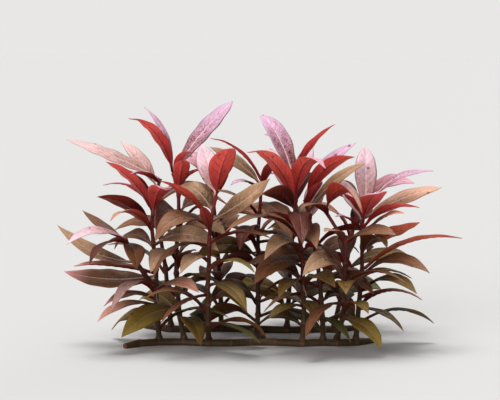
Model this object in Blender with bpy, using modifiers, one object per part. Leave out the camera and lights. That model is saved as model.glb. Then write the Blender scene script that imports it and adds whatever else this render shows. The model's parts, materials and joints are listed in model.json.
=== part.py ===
"""Alternanthera reineckii: a bushy clump of leafy red shoots on creeping stems, cut off flat at the ground.

Metres, +Z up. The front faces -Y. The origin is on the ground, under the middle of the front runner.
Places in the tables are millimetres, turned into metres where they are used.
"""

import math
import random
from collections import namedtuple

import bmesh
import bpy
from mathutils import Matrix, Vector
from mathutils.bvhtree import BVHTree

MM = 0.001
UP = Vector((0, 0, 1))
OBJECT_NAME = "alternanthera_reineckii"

# Leaves
LEAF_THICKNESS = 0.7
STALK_WIDTH = 1.7
TIP_WIDTH = 0.5
STALK_END = 0.07
WIDEST_EARLY = 0.9
LONG_TIP = 1.0
BLUNT_TIP = 0.5
STEPS_FOR_LENGTH = ((50, 4), (0, 3))    # steps along the blade, for leaves longer than this
FUSED_STEPS = 3

# Stems
STEM_RADIUS_FOOT = 2.0
STEM_RADIUS_TOP = 1.2
GAP = 0.45
TOP_SINK = 0.1
FOOT_HEIGHT = 5.2
RUNNER_RADIUS = 3.2
RUNNER_END_RADIUS = 2.0
RUNNER_CENTRE = 1.6

# Room kept between neighbours while the leaves are laid, and the steps in which a leaf looks for its room
SHELL_HALF = 0.8
STALK_PART = 0.14
GROUND_ROOM = 1.2
MOST_STEPS = 12
DEPTH_STEP = 4
TURN_STEP = math.radians(6)
CLIMBS = (0, 0.12, -0.12, 0.24, -0.24)

# Each stem: its places from the foot to the top, where the leaf joints are.
STEMS = {
    "stem_01": [(-66, 1, FOOT_HEIGHT), (-67, 2, 16), (-68, 2, 27), (-68, 3, 41), (-68, 3, 55), (-70, 2, 75),
                (-71, 0, 88), (-70, 0, 99), (-65, 4, 121)],
    "stem_02": [(-48, 1, FOOT_HEIGHT), (-52, 12, 22), (-53, 15, 36), (-54, 17, 50), (-54, 17, 66),
                (-53, 16, 82), (-52, 15, 95), (-52, 14, 108), (-56, 16, 124)],
    "stem_03": [(-30, -3, FOOT_HEIGHT), (-30, -18, 20), (-30, -23, 34), (-30, -25, 47), (-29, -25, 60),
                (-29, -26, 77), (-28, -26, 92), (-24, -24, 111)],
    "stem_04": [(5, 30, FOOT_HEIGHT), (6, 32, 17), (6, 33, 29), (6, 34, 41), (6, 35, 53), (6, 35, 65),
                (6, 35, 78), (7, 35, 91), (9, 34, 120)],
    "stem_05": [(38, -4, FOOT_HEIGHT), (39, -5, 17), (39, -5, 30), (38, -6, 47), (38, -6, 60), (37, -6, 71),
                (35, -6, 82), (33, -6, 101), (31, -5, 121)],
    "stem_06": [(53, -1, FOOT_HEIGHT), (53, 7, 18), (52, 11, 32), (51, 12, 46), (49, 13, 60), (47, 13, 72),
                (45, 12, 84), (40, 12, 105)],
    "stem_07": [(77, 0, FOOT_HEIGHT), (78, 1, 17), (79, 1, 30), (80, 0, 42), (81, 0, 54), (81, 0, 72),
                (81, 2, 90), (86, 4, 103)],
    "stem_08": [(63, -2, FOOT_HEIGHT), (66, -22, 24), (67, -26, 37), (67, -28, 50), (67, -28, 64),
                (67, -27, 79), (53, -22, 101)],
    "stem_09": [(-71, 1, 44), (-82, -6, 62), (-89, -14, 80)],
    "stem_10": [(-60, 53, FOOT_HEIGHT), (-62, 55, 26), (-64, 58, 48), (-68, 61, 72), (-76, 66, 96)],
    "stem_11": [(-22, 57, FOOT_HEIGHT), (-22, 59, 20), (-23, 61, 36), (-24, 63, 51), (-25, 65, 66),
                (-26, 67, 81), (-28, 70, 98), (-31, 72, 114)],
    "stem_12": [(28, 49, FOOT_HEIGHT), (29, 54, 20), (30, 59, 36), (31, 62, 51), (32, 64, 66), (33, 67, 82),
                (35, 71, 98), (37, 75, 117)],
    "stem_13": [(64, 51, FOOT_HEIGHT), (69, 53, 28), (73, 57, 50), (77, 60, 74), (85, 64, 100)],
}
RUNNERS = {
    "runner_front": [(-90, -13), (-80, -4), (-66, 1), (-48, 1), (-30, -3), (-14, -3), (0, 0), (18, 0),
                     (38, -4), (53, -1), (63, -2), (77, 0), (90, 9)],
    "runner_link": [(3, 4.6), (8, 16), (5, 30), (2, 41), (4, 49.3)],
    "runner_back": [(-80, 68), (-60, 53), (-40, 53), (-22, 57), (4, 53.5), (28, 49), (46, 52), (64, 51),
                    (82, 61)],
}

Leaf = namedtuple("Leaf", "name stem joint tip width arch sway face fold taper swing")


def leaf(name, stem, joint, tip, width, arch=5, sway=0, face=0, fold=14, taper=LONG_TIP):
    """A leaf laid by hand. arch lifts its middle, sway moves it aside, face turns its upper side forward."""
    return Leaf(name, stem, joint, Vector(tip), width, arch, sway, face, fold, taper, "depth")


# The leaves of the front stems. A fraction in a joint is a place on the way to the next joint.
LAID = [
    leaf("leaf_01", "stem_01", 8, (-135, 28, 148), 12, arch=2, face=35, fold=10),
    leaf("leaf_02", "stem_01", 7.8, (-96, 40, 146), 12, arch=4, face=20),
    leaf("leaf_03", "stem_01", 7, (-101, -30, 136), 12, arch=5, face=-10),
    leaf("leaf_04", "stem_01", 6, (-107, -34, 112), 13, arch=5, face=-35),
    leaf("leaf_05", "stem_01", 6.6, (-58, -38, 118), 17, arch=8, taper=BLUNT_TIP),
    leaf("leaf_06", "stem_01", 5.8, (-98, -46, 98), 12, arch=9, face=-10),
    leaf("leaf_07", "stem_09", 2, (-129, -35, 79), 12, arch=7, face=25),
    leaf("leaf_08", "stem_09", 1.9, (-122, 14, 97), 8, arch=-1, face=20),
    leaf("leaf_09", "stem_09", 1, (-139, 4, 88), 13, arch=-7, face=40),
    leaf("leaf_10", "stem_01", 4.1, (-127, -30, 60), 12, arch=2, face=5, fold=25),
    leaf("leaf_11", "stem_01", 3.8, (-135, -6, 53), 17, arch=-4, face=45),
    leaf("leaf_12", "stem_01", 2.8, (-97, -45, 33), 14, arch=14, face=-5),
    leaf("leaf_13", "stem_01", 3, (-36, -40, 46), 14, arch=6, face=20),
    leaf("leaf_14", "stem_01", 2.2, (-108, -34, 24), 13, arch=6, face=10),
    leaf("leaf_15", "stem_02", 1.2, (-90, -42, 14), 18, arch=6, face=40),
    leaf("leaf_16", "stem_02", 8, (-86, -12, 168), 12, arch=9, face=-20),
    leaf("leaf_17", "stem_02", 7.9, (-78, 34, 172), 8, arch=7),
    leaf("leaf_18", "stem_02", 8, (-13, 46, 175), 17, arch=3, face=15, taper=0.75),
    leaf("leaf_19", "stem_03", 7, (-14, -46, 147), 20, arch=4, taper=0.6),
    leaf("leaf_20", "stem_03", 7, (-35, 12, 146), 18, arch=2, face=10),
    leaf("leaf_21", "stem_03", 6, (-63, -36, 124), 12, arch=4, face=-20),
    leaf("leaf_22", "stem_03", 6.3, (-50, -6, 118), 17, arch=5, face=35),
    leaf("leaf_23", "stem_03", 5.9, (-66, -52, 83), 17, arch=11, face=20),
    leaf("leaf_24", "stem_03", 5, (-68, -52, 55), 12, arch=12),
    leaf("leaf_25", "stem_05", 8, (8, 24, 167), 17, arch=6, face=15, taper=0.75),
    leaf("leaf_26", "stem_05", 8, (60, -24, 162), 10, arch=6, face=-15),
    leaf("leaf_27", "stem_05", 7.1, (-2, -44, 148), 16, arch=9, face=-15),
    leaf("leaf_28", "stem_05", 7, (54, -42, 136), 16, arch=16, face=-15),
    leaf("leaf_29", "stem_05", 6.8, (0, -62, 110), 19, arch=12, face=-30),
    leaf("leaf_30", "stem_05", 6, (-17, -54, 90), 14, arch=12),
    leaf("leaf_31", "stem_05", 4.4, (10, -48, 70), 15, arch=13, face=15),
    leaf("leaf_32", "stem_06", 7, (74, -26, 140), 14, arch=8, face=-20),
    leaf("leaf_33", "stem_06", 6.9, (78, 24, 146), 13, arch=6, face=35),
    leaf("leaf_34", "stem_07", 6.5, (85, 28, 142), 17, arch=3, face=10, taper=0.7),
    leaf("leaf_35", "stem_07", 7, (133, 8, 126), 10, arch=8, face=18),
    leaf("leaf_36", "stem_07", 6.2, (140, 16, 114), 14, arch=3, face=30),
    leaf("leaf_37", "stem_07", 6, (90, -42, 115), 21, arch=6, taper=0.6),
    leaf("leaf_38", "stem_07", 5.9, (119, -34, 104), 11, arch=7, face=-15),
    leaf("leaf_39", "stem_07", 5, (120, -26, 93), 16, arch=1, face=-25),
    leaf("leaf_40", "stem_07", 4.1, (151, -20, 81), 11, arch=9, face=-20),
    leaf("leaf_41", "stem_07", 4, (126, -36, 58), 13, arch=10, face=25),
    leaf("leaf_42", "stem_07", 2, (111, -40, 45), 12, arch=5),
    leaf("leaf_43", "stem_08", 6, (77, -58, 103), 18, arch=16, face=-20),
    leaf("leaf_44", "stem_08", 5, (101, -52, 87), 16, arch=5, face=20),
    leaf("", "stem_01", 7.2, (-90, -14, 130), 9, arch=3, fold=30),
    leaf("", "stem_01", 8, (-84, -22, 128), 7, arch=2, fold=30),
    leaf("", "stem_01", 2.5, (-106, -6, 30), 14, arch=6, face=10),
    leaf("", "stem_09", 1.8, (-112, -46, 66), 17, arch=8, face=-20),
    leaf("", "stem_09", 1.95, (-80, -52, 60), 16, arch=8),
    leaf("", "stem_02", 7.9, (-41, -8, 142), 8, arch=6),
    leaf("", "stem_02", 7, (-47, -14, 136), 12, arch=3, taper=BLUNT_TIP),
    leaf("", "stem_02", 7.1, (-32, -16, 128), 16, arch=4, taper=BLUNT_TIP),
    leaf("", "stem_02", 5, (-26, 10, 104), 10, arch=5),
    leaf("", "stem_02", 3, (-38, -22, 72), 10, arch=6),
    leaf("", "stem_02", 2.6, (-24, -6, 46), 15, arch=6),
    leaf("", "stem_03", 5.6, (-33, -42, 108), 8, arch=3),
    leaf("", "stem_03", 6.1, (14, -40, 124), 17, arch=-2, face=45),
    leaf("", "stem_03", 5.1, (14, -46, 84), 12, arch=6),
    leaf("", "stem_03", 4, (4, -54, 62), 11, arch=7, face=5),
    leaf("", "stem_03", 4.3, (-48, -50, 60), 15, arch=8, face=10),
    leaf("", "stem_03", 2.6, (-62, -60, 27), 10, arch=4, face=-10),
    leaf("", "stem_03", 3.1, (-2, -60, 36), 14, arch=8, face=10),
    leaf("", "stem_03", 2.2, (-1, -52, 32), 12, arch=8),
    leaf("", "stem_03", 1, (8, -42, 10), 10, arch=4),
    leaf("", "stem_04", 8, (-29, 12, 151), 7, arch=6),
    leaf("", "stem_04", 7.9, (-30, 48, 141), 13, arch=3, face=25),
    leaf("", "stem_04", 7.8, (24, 0, 138), 12, arch=4, face=10),
    leaf("", "stem_04", 7, (-26, 6, 112), 14, arch=5, face=20),
    leaf("", "stem_04", 7.6, (-14, -2, 118), 9, arch=5, face=15),
    leaf("", "stem_04", 5, (-22, 22, 84), 16, arch=6),
    leaf("", "stem_04", 7.3, (30, -10, 78), 17, arch=8, face=20),
    leaf("", "stem_04", 5.5, (36, 2, 60), 15, arch=6),
    leaf("", "stem_05", 7.7, (2, 44, 159), 14, arch=4, taper=0.75),
    leaf("", "stem_05", 7.4, (46, 34, 144), 13, arch=4, face=15),
    leaf("", "stem_05", 7.2, (12, 26, 140), 13, arch=4, face=15),
    leaf("", "stem_05", 6.1, (13, -36, 102), 10, arch=3),
    leaf("", "stem_05", 6.9, (36, -62, 82), 17, arch=10),
    leaf("", "stem_05", 6, (46, -56, 78), 15, arch=12),
    leaf("", "stem_05", 3, (20, -40, 42), 13, arch=6),
    leaf("", "stem_05", 2, (13, -34, 26), 12, arch=4),
    leaf("", "stem_05", 2.1, (48, -40, 24), 12, arch=4),
    leaf("", "stem_06", 6.6, (82, -4, 133), 13, arch=4, face=45),
    leaf("", "stem_06", 6.5, (52, 0, 120), 9, arch=3),
    leaf("", "stem_06", 6, (52, 30, 118), 15, arch=4, face=10),
    leaf("", "stem_07", 6.5, (108, 34, 123), 15, arch=4, face=10),
    leaf("", "stem_07", 5.7, (108, -10, 101), 9, arch=4, face=20),
    leaf("", "stem_07", 6.2, (66, -14, 112), 8, arch=2),
    leaf("", "stem_07", 5.9, (60, -26, 98), 7, arch=3, face=15),
    leaf("", "stem_07", 6, (62, 26, 120), 13, arch=4, face=10),
    leaf("", "stem_07", 2.2, (124, -18, 36), 13, arch=6),
    leaf("", "stem_07", 1.8, (110, -20, 14), 14, arch=5),
    leaf("", "stem_08", 6, (35, -54, 106), 13, arch=6),
    leaf("", "stem_08", 5, (51, -54, 90), 12, arch=4),
    leaf("", "stem_08", 3, (109, -50, 52), 14, arch=9),
    leaf("", "stem_08", 2.2, (66, -62, 47), 14, arch=10),
    leaf("", "stem_08", 1.2, (82, -58, 34), 14, arch=8),
    leaf("", "stem_08", 1, (92, -48, 7), 15, arch=5, face=20),
]

# Pairs follow the plant's own rule: they stand opposite, each turned a quarter from the one below. Angles
# are degrees, and steeper is added to the rise at each joint. Those INSIDE fill the middle of the clump.
# A joint that already carries two leaves laid by hand gets no more.
Pairs = namedtuple("Pairs", "headings length shorter rise steeper width arch face highest")
BEHIND = Pairs(
    headings={"stem_10": 200, "stem_11": 250, "stem_12": 290, "stem_13": 330},
    length=(46, 60), shorter=2, rise=(-12, 20), steeper=5, width=(13, 18), arch=8, face=(-15, 45),
    highest=130)
INSIDE = Pairs(
    headings={"stem_01": 235, "stem_02": 220, "stem_03": 245, "stem_04": 230, "stem_05": 225, "stem_06": 240,
              "stem_07": 215, "stem_08": 230},
    length=(46, 60), shorter=1, rise=(-26, 8), steeper=2, width=(14, 19), arch=10, face=(-30, 50), highest=96)
PAIR_TURN = 90
PAIR_SPREAD = 15
PAIR_FOLD = 14
PAIR_DROP = 0.1
LOWEST_TIP = 6


def start_scene():
    """An empty scene, with one collection for the plant and one for the pieces that are fused into it."""
    for old in list(bpy.data.objects):
        bpy.data.objects.remove(old)
    parts = bpy.data.collections.new(OBJECT_NAME)
    helpers = bpy.data.collections.new("fused_pieces")
    for collection in (parts, helpers):
        bpy.context.scene.collection.children.link(collection)
    return parts, helpers


def plain_material(name, colour, roughness):
    material = bpy.data.materials.new(name)
    material.use_nodes = True
    shader = material.node_tree.nodes["Principled BSDF"]
    shader.inputs["Base Color"].default_value = (*colour, 1)
    shader.inputs["Roughness"].default_value = roughness
    return material


def on_stem(points, position):
    """The place at a position counted in joints. A stem is straight between its joints."""
    index = min(int(position), len(points) - 2)
    return points[index].lerp(points[index + 1], position - index)


def stem_radius(points, position):
    """Thinner towards the top."""
    part = position / (len(points) - 1)
    return STEM_RADIUS_FOOT + (STEM_RADIUS_TOP - STEM_RADIUS_FOOT) * part


def tube(name, centres, radii):
    """A mesh object: a six-sided rod through the centres, with a radius at each."""
    curve = bpy.data.curves.new(name, "CURVE")
    curve.dimensions = "3D"
    curve.bevel_depth = MM
    curve.bevel_resolution = 1
    curve.use_fill_caps = True
    spline = curve.splines.new("POLY")
    spline.points.add(len(centres) - 1)
    for point, centre, radius in zip(spline.points, centres, radii):
        point.co = (*(centre * MM), 1)
        point.radius = radius
    rod = bpy.data.objects.new(name + "_path", curve)
    bpy.context.scene.collection.objects.link(rod)
    graph = bpy.context.evaluated_depsgraph_get()
    mesh = bpy.data.meshes.new_from_object(rod.evaluated_get(graph))
    weld(mesh)
    mesh.name = name
    solid = bpy.data.objects.new(name, mesh)
    solid.matrix_world = rod.matrix_world
    bpy.data.objects.remove(rod)
    return solid


def weld(mesh):
    """Joins the caps to the sides."""
    shape = bmesh.new()
    shape.from_mesh(mesh)
    bmesh.ops.remove_doubles(shape, verts=shape.verts, dist=MM / 100)
    bmesh.ops.recalc_face_normals(shape, faces=shape.faces)
    shape.to_mesh(mesh)
    shape.free()


def make_stem(name, points):
    """A stem through its joints, with a level foot where it stands on a runner."""
    stem = tube(name, points, [stem_radius(points, joint) for joint in range(len(points))])
    foot = points[0]
    if foot.z < FOOT_HEIGHT + GAP:
        for vertex in stem.data.vertices:
            if (vertex.co / MM - foot).length < STEM_RADIUS_FOOT + GAP:
                vertex.co.z = FOOT_HEIGHT * MM
    return stem


def make_runner(name, flat_points):
    """A creeping stem lying on the ground, cut flat underneath, thinner at its free ends."""
    points = [Vector((x, y, RUNNER_CENTRE)) for x, y in flat_points]
    inner = [RUNNER_RADIUS] * (len(points) - 2)
    runner = tube(name, points, [RUNNER_END_RADIUS, *inner, RUNNER_END_RADIUS])
    for vertex in runner.data.vertices:
        vertex.co.z = max(vertex.co.z, 0)
    return runner


def base_of(item, fused):
    """Where the leaf's stalk starts: on the stem's skin, or inside the stem when the leaf is fused to it."""
    points = stem_points[item.stem]
    highest = len(points) - 1 - (TOP_SINK if fused else 0)
    centre = on_stem(points, min(item.joint, highest))
    outward = Vector((item.tip.x - centre.x, item.tip.y - centre.y, 0)).normalized()
    if fused:
        return centre + outward * STEM_RADIUS_TOP / 2
    return centre + outward * (stem_radius(points, item.joint) + GAP)


def half_width(item, u):
    """Lance-shaped: half the width at u, from the stalk at 0 to the tip at 1."""
    early, late = WIDEST_EARLY, item.taper
    widest = early / (early + late)
    most = widest**early * (1 - widest) ** late
    part = max(u - STALK_END, 0) / (1 - STALK_END)
    shape = part**early * (1 - part) ** late / most
    floor = STALK_WIDTH + (TIP_WIDTH - STALK_WIDTH) * u
    return max(item.width * shape, floor) / 2


def blade_point(item, base, u, v):
    """A point of the leaf's middle surface, and its normal on the upper side. v runs from -1 to 1 across."""
    tip = item.tip
    chord = tip - base
    side = UP.cross(chord).normalized()
    lift = chord.normalized().cross(side)
    pull = (base + tip) / 2 + 2 * (item.arch * lift + item.sway * side)
    place = (1 - u) ** 2 * base + 2 * u * (1 - u) * pull + u**2 * tip
    heading = ((1 - u) * (pull - base) + u * (tip - pull)).normalized()
    turn = math.radians(item.face) * (1 if tip.x >= base.x else -1)
    across = Matrix.Rotation(turn, 3, heading) @ (side - side.dot(heading) * heading).normalized()
    above = heading.cross(across)
    fold = math.radians(item.fold)
    reach = half_width(item, u)
    place = place + across * (reach * v * math.cos(fold)) + above * (reach * abs(v) * math.sin(fold))
    return place, above


def steps_of(item, base):
    """How many flat steps a leaf's solid has along its length and across it."""
    if not item.name:
        return FUSED_STEPS, 1
    return next(steps for least, steps in STEPS_FOR_LENGTH if (item.tip - base).length > least), 2


def shell_of(item, base, first):
    """A closed coarse box round the blade, SHELL_HALF to each side of it, as a search tree."""
    rows, columns = (steps + 1 for steps in steps_of(item, base))
    upper, lower = [], []
    lowest = math.inf
    for row in range(rows):
        u = first if row == 0 else row / (rows - 1)
        for column in range(columns):
            place, above = blade_point(item, base, u, 2 * column / (columns - 1) - 1)
            upper.append(place + above * SHELL_HALF)
            lower.append(place - above * SHELL_HALF)
            lowest = min(lowest, place.z)
    count = len(upper)
    faces = []
    for row in range(rows - 1):
        for column in range(columns - 1):
            corner = row * columns + column
            quad = [corner, corner + columns, corner + columns + 1, corner + 1]
            faces += [quad, [index + count for index in quad]]
        for edge in (row * columns, row * columns + columns - 1):
            faces.append([edge, edge + columns, edge + columns + count, edge + count])
    last = count - columns
    for start in (0, last):
        for column in range(columns - 1):
            corner = start + column
            faces.append([corner, corner + 1, corner + 1 + count, corner + count])
    return BVHTree.FromPolygons(upper + lower, faces), lowest


def swings(item):
    """The joint and tip as laid, then moved further and further to either side, to find room."""
    root = on_stem(stem_points[item.stem], item.joint)
    for step in range(MOST_STEPS):
        for sign in (-1, 1):
            if item.swing == "depth":
                tip = item.tip + Vector((0, sign * DEPTH_STEP * step, 0))
            else:
                tip = root + Matrix.Rotation(sign * TURN_STEP * step, 3, "Z") @ (item.tip - root)
            for climb in CLIMBS:
                joint = min(item.joint + climb, len(stem_points[item.stem]) - 1)
                yield item._replace(joint=joint, tip=tip)


def settle(item, fused, stem_trees, placed):
    """The leaf with its base, clear of every stem and of the leaves laid before it, or None without room."""
    others = [tree for name, tree in stem_trees.items() if name != item.stem] + placed
    for moved in swings(item):
        base = base_of(moved, fused)
        tree, lowest = shell_of(moved, base, 0)
        if lowest < GROUND_ROOM or any(tree.overlap(other) for other in others):
            continue
        blade, _ = shell_of(moved, base, STALK_PART)
        if blade.overlap(stem_trees[moved.stem]):
            continue
        placed.append(tree)
        return moved, base
    if item.name:
        raise ValueError(f"no room for {item.name}")
    return None


def make_blade(name, item, base):
    """The leaf as an open grid laid on its surface, made solid."""
    grid = bmesh.new()
    long_steps, cross_steps = steps_of(item, base)
    bmesh.ops.create_grid(grid, x_segments=long_steps, y_segments=cross_steps, size=1)
    for vertex in grid.verts:
        place, _ = blade_point(item, base, (vertex.co.x + 1) / 2, vertex.co.y)
        vertex.co = place * MM
    mesh = bpy.data.meshes.new(name)
    grid.to_mesh(mesh)
    grid.free()
    mesh.shade_smooth()
    blade = bpy.data.objects.new(name, mesh)
    solid = blade.modifiers.new("Blade thickness", "SOLIDIFY")
    solid.thickness = LEAF_THICKNESS * MM
    solid.offset = 0
    return blade


def paired_leaves(pairs, rng):
    """The opposite pairs of some stems, with the longest leaves lowest."""
    found = []
    for stem, first_heading in pairs.headings.items():
        points = stem_points[stem]
        laid = [round(item.joint) for item in LAID if item.stem == stem]
        joints = [joint for joint in range(1, len(points))
                  if points[joint].z < pairs.highest and laid.count(joint) < 2]
        for joint in joints:
            for half in (0, 1):
                spread = rng.uniform(-PAIR_SPREAD, PAIR_SPREAD)
                heading = math.radians(first_heading + PAIR_TURN * joint + 180 * half + spread)
                length = rng.uniform(*pairs.length) - pairs.shorter * joint
                rise = math.radians(rng.uniform(*pairs.rise) + pairs.steeper * joint)
                width = rng.uniform(*pairs.width)
                face = rng.uniform(*pairs.face)
                flat = math.cos(rise)
                reach = Vector((math.cos(heading) * flat, math.sin(heading) * flat, math.sin(rise)))
                place = joint - PAIR_DROP * (1 + half)
                tip = on_stem(points, place) + reach * length
                tip.z = max(tip.z, LOWEST_TIP)
                shape = (width, pairs.arch, 0, face, PAIR_FOLD, LONG_TIP, "turn")
                found.append(Leaf("", stem, place, tip, *shape))
    return found


parts, helpers = start_scene()
leaf_red = plain_material("leaf_red", (0.42, 0.07, 0.06), 0.45)
stem_brown = plain_material("stem_brown", (0.16, 0.05, 0.035), 0.55)
stem_points = {name: [Vector(place) for place in places] for name, places in STEMS.items()}

# Stems and runners, each also kept as a search tree for the leaves to stay clear of
stems = {name: make_stem(name, points) for name, points in stem_points.items()}
runners = {name: make_runner(name, points) for name, points in RUNNERS.items()}
trees = {}
for name, rod in (*stems.items(), *runners.items()):
    corners = [vertex.co / MM for vertex in rod.data.vertices]
    trees[name] = BVHTree.FromPolygons(corners, [list(face.vertices) for face in rod.data.polygons])
    rod.data.materials.append(stem_brown)
    parts.objects.link(rod)

# Every leaf finds its room in turn. An inner leaf that finds none is left out, as one that fell.
placed = []
rng = random.Random(7)
leaves = LAID + paired_leaves(BEHIND, rng) + paired_leaves(INSIDE, rng)
settled = [found for item in leaves if (found := settle(item, not item.name, trees, placed))]

# A named leaf is a piece of its own. The others are fused to the stem that they grow from.
for item, base in settled:
    if item.name:
        blade = make_blade(item.name, item, base)
        parts.objects.link(blade)
    else:
        blade = make_blade(item.stem + "_blade", item, base)
        blade.hide_render = True
        blade.display_type = "WIRE"
        helpers.objects.link(blade)
        union = stems[item.stem].modifiers.new(blade.name, "BOOLEAN")
        union.operation = "UNION"
        union.object = blade
    blade.data.materials.append(leaf_red)
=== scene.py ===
# %% [markdown]
# # A clump of red Alternanthera reineckii
#
# The real plant is a bushy clump of soft stems that rise from creeping base stems. Each stem
# carries long-tipped leaves in opposite pairs. Their upper side is pale lilac, pink or bronze and
# their underside is deep red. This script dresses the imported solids. It repeats the plan of the
# solids, so that every leaf lands where its solid is, and builds each leaf and stem again as a
# finer mesh with veins, ripples and living colour.

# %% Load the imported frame
import json
import math
import random
from collections import namedtuple

import bmesh
import bpy
from mathutils import Matrix, Vector
from mathutils.bvhtree import BVHTree

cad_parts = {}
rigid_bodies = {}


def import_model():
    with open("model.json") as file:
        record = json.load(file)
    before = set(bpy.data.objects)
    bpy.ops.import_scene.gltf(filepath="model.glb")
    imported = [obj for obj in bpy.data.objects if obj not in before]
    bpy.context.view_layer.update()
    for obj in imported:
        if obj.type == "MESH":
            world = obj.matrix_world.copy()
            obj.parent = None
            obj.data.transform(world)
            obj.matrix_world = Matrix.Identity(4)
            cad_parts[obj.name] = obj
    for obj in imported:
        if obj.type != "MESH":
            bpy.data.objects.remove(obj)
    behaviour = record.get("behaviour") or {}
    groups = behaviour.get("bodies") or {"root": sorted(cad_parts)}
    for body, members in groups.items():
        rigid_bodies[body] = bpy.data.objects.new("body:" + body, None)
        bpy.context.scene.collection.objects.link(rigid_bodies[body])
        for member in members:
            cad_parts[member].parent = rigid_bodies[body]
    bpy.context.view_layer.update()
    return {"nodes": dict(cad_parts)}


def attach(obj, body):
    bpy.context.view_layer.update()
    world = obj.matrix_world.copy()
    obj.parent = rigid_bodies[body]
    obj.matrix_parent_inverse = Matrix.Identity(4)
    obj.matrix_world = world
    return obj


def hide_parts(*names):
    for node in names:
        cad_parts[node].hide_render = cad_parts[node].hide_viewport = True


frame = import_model()
scene = bpy.context.scene
MM = 0.001
UP = Vector((0, 0, 1))
print("solids in the frame:", len(frame["nodes"]))

# %% [markdown]
# ## The camera
#
# The plant is seen from the front, a little from above, through a long lens from over a metre away.
# One pixel of the picture is 0.72 mm at the clump's middle. The middle of the view is a point above
# the clump's foot, and the camera stands back from it along its line of sight. A long lens keeps
# near and far leaves about the same size.

# %% The camera
VIEW_CENTRE = Vector((0, 0, 0.106))
VIEW_DISTANCE = 1.2
VIEW_ELEVATION = math.radians(6)
LENS = 120

camera_data = bpy.data.cameras.new("camera")
camera_data.lens = LENS
camera = bpy.data.objects.new("camera", camera_data)
scene.collection.objects.link(camera)
look = Vector((0, math.cos(VIEW_ELEVATION), -math.sin(VIEW_ELEVATION)))
camera.location = VIEW_CENTRE - look * VIEW_DISTANCE
camera.rotation_euler = look.to_track_quat("-Z", "Y").to_euler()
scene.camera = camera
print("camera at", tuple(round(v, 3) for v in camera.location))

# %% [markdown]
# ## The floor
#
# The plant stands on a plain pale floor. A wide disc is enough, because the world behind it has the
# same tone and no horizon shows between them.

# %% The floor
FLOOR_RADIUS = 12
FLOOR_SEGMENTS = 96
FLOOR_TONE = (0.54, 0.535, 0.525, 1)
FLOOR_ROUGHNESS = 0.8


def plain_floor():
    mesh = bpy.data.meshes.new("floor")
    shape = bmesh.new()
    bmesh.ops.create_circle(shape, cap_ends=True, segments=FLOOR_SEGMENTS, radius=FLOOR_RADIUS)
    shape.to_mesh(mesh)
    shape.free()
    floor = bpy.data.objects.new("floor", mesh)
    scene.collection.objects.link(floor)
    paint = bpy.data.materials.new("floor_paint")
    paint.use_nodes = True
    shader = paint.node_tree.nodes["Principled BSDF"]
    shader.inputs["Base Color"].default_value = FLOOR_TONE
    shader.inputs["Roughness"].default_value = FLOOR_ROUGHNESS
    mesh.materials.append(paint)
    return floor


plain_floor()
print("a floor of", FLOOR_RADIUS, "m radius")

# %% [markdown]
# ## The light
#
# The plant grew under a lamp from above, which makes the upper sides of its leaves pale and leaves
# their undersides in rich shade. A broad soft light from above does the same here. A weaker one in
# front opens the shade, and a faint one from behind draws the edges. Sun lamps are used, because a
# sun lights the whole floor evenly.

# %% The light
LAMPS = [("light_above", (-0.13, 0.05, 0.95), 30, 2.95),
         ("light_front", (-0.45, -0.8, 0.45), 40, 1.4),
         ("light_back", (0.5, 0.75, 0.6), 30, 0.4)]


def soft_light(name, direction, spread, strength):
    """A sun from this direction that looks spread degrees wide. Gives back what the floor gets."""
    light = bpy.data.lights.new(name, "SUN")
    light.angle = math.radians(spread)
    light.energy = strength
    lamp = bpy.data.objects.new(name, light)
    lamp.location = Vector(direction)
    lamp.rotation_euler = Vector(direction).to_track_quat("Z", "Y").to_euler()
    scene.collection.objects.link(lamp)
    return strength * Vector(direction).normalized().z


on_floor = sum(soft_light(*lamp) for lamp in LAMPS)
print(len(LAMPS), "lamps give the floor", round(on_floor, 2), "watts per square metre")

# %% [markdown]
# ## The pale room
#
# The world fills in the shade from all sides. The camera sees it in the floor's tone, as bright as
# the lit floor is, so floor and world look like one sheet.

# %% The pale room
FILL_LIGHT = 0.3

world = bpy.data.worlds.new("pale_room")
world.use_nodes = True
nodes, links = world.node_tree.nodes, world.node_tree.links
fill = nodes["Background"]
fill.inputs["Color"].default_value = (1, 1, 1, 1)
fill.inputs["Strength"].default_value = FILL_LIGHT
seen = nodes.new("ShaderNodeBackground")
seen.inputs["Color"].default_value = FLOOR_TONE
seen.inputs["Strength"].default_value = on_floor / math.pi + FILL_LIGHT
choice = nodes.new("ShaderNodeMixShader")
links.new(nodes.new("ShaderNodeLightPath").outputs["Is Camera Ray"], choice.inputs["Fac"])
links.new(fill.outputs[0], choice.inputs[1])
links.new(seen.outputs[0], choice.inputs[2])
links.new(choice.outputs[0], nodes["World Output"].inputs["Surface"])
scene.world = world
scene.view_settings.view_transform = "Standard"
print("the camera sees the world at strength", round(seen.inputs["Strength"].default_value, 3))

# %% [markdown]
# ## Formulas in node trees
#
# Geometry and shader trees are both built by script, and long formulas in nodes are hard to read. A
# term stands for a socket's value here. Python's own signs between two terms add the Math node that
# works it out, so a formula in nodes reads like a formula on paper. A vector's term does the same
# with Vector Math nodes.

# %% Terms for numbers


def feed(node, values):
    """Links or sets a node's inputs. values gives, by name or number, what goes into each."""
    for key, value in dict(values).items():
        if isinstance(value, Term):
            value.tree.links.new(value.socket, node.inputs[key])
        else:
            node.inputs[key].default_value = value


def add_node(tree, kind, inputs=(), **settings):
    """A new node with its settings and its inputs."""
    node = tree.nodes.new(kind)
    for name, value in settings.items():
        setattr(node, name, value)
    feed(node, inputs)
    return node


def term_of(socket):
    """A term for a socket: one for vectors and colours, or one for everything else."""
    return (VectorTerm if socket.type in ("VECTOR", "RGBA") else Term)(socket)


def value_from(tree, kind, inputs=(), output=0, **settings):
    """One output of a new node as a term."""
    return term_of(add_node(tree, kind, inputs, **settings).outputs[output])


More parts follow.
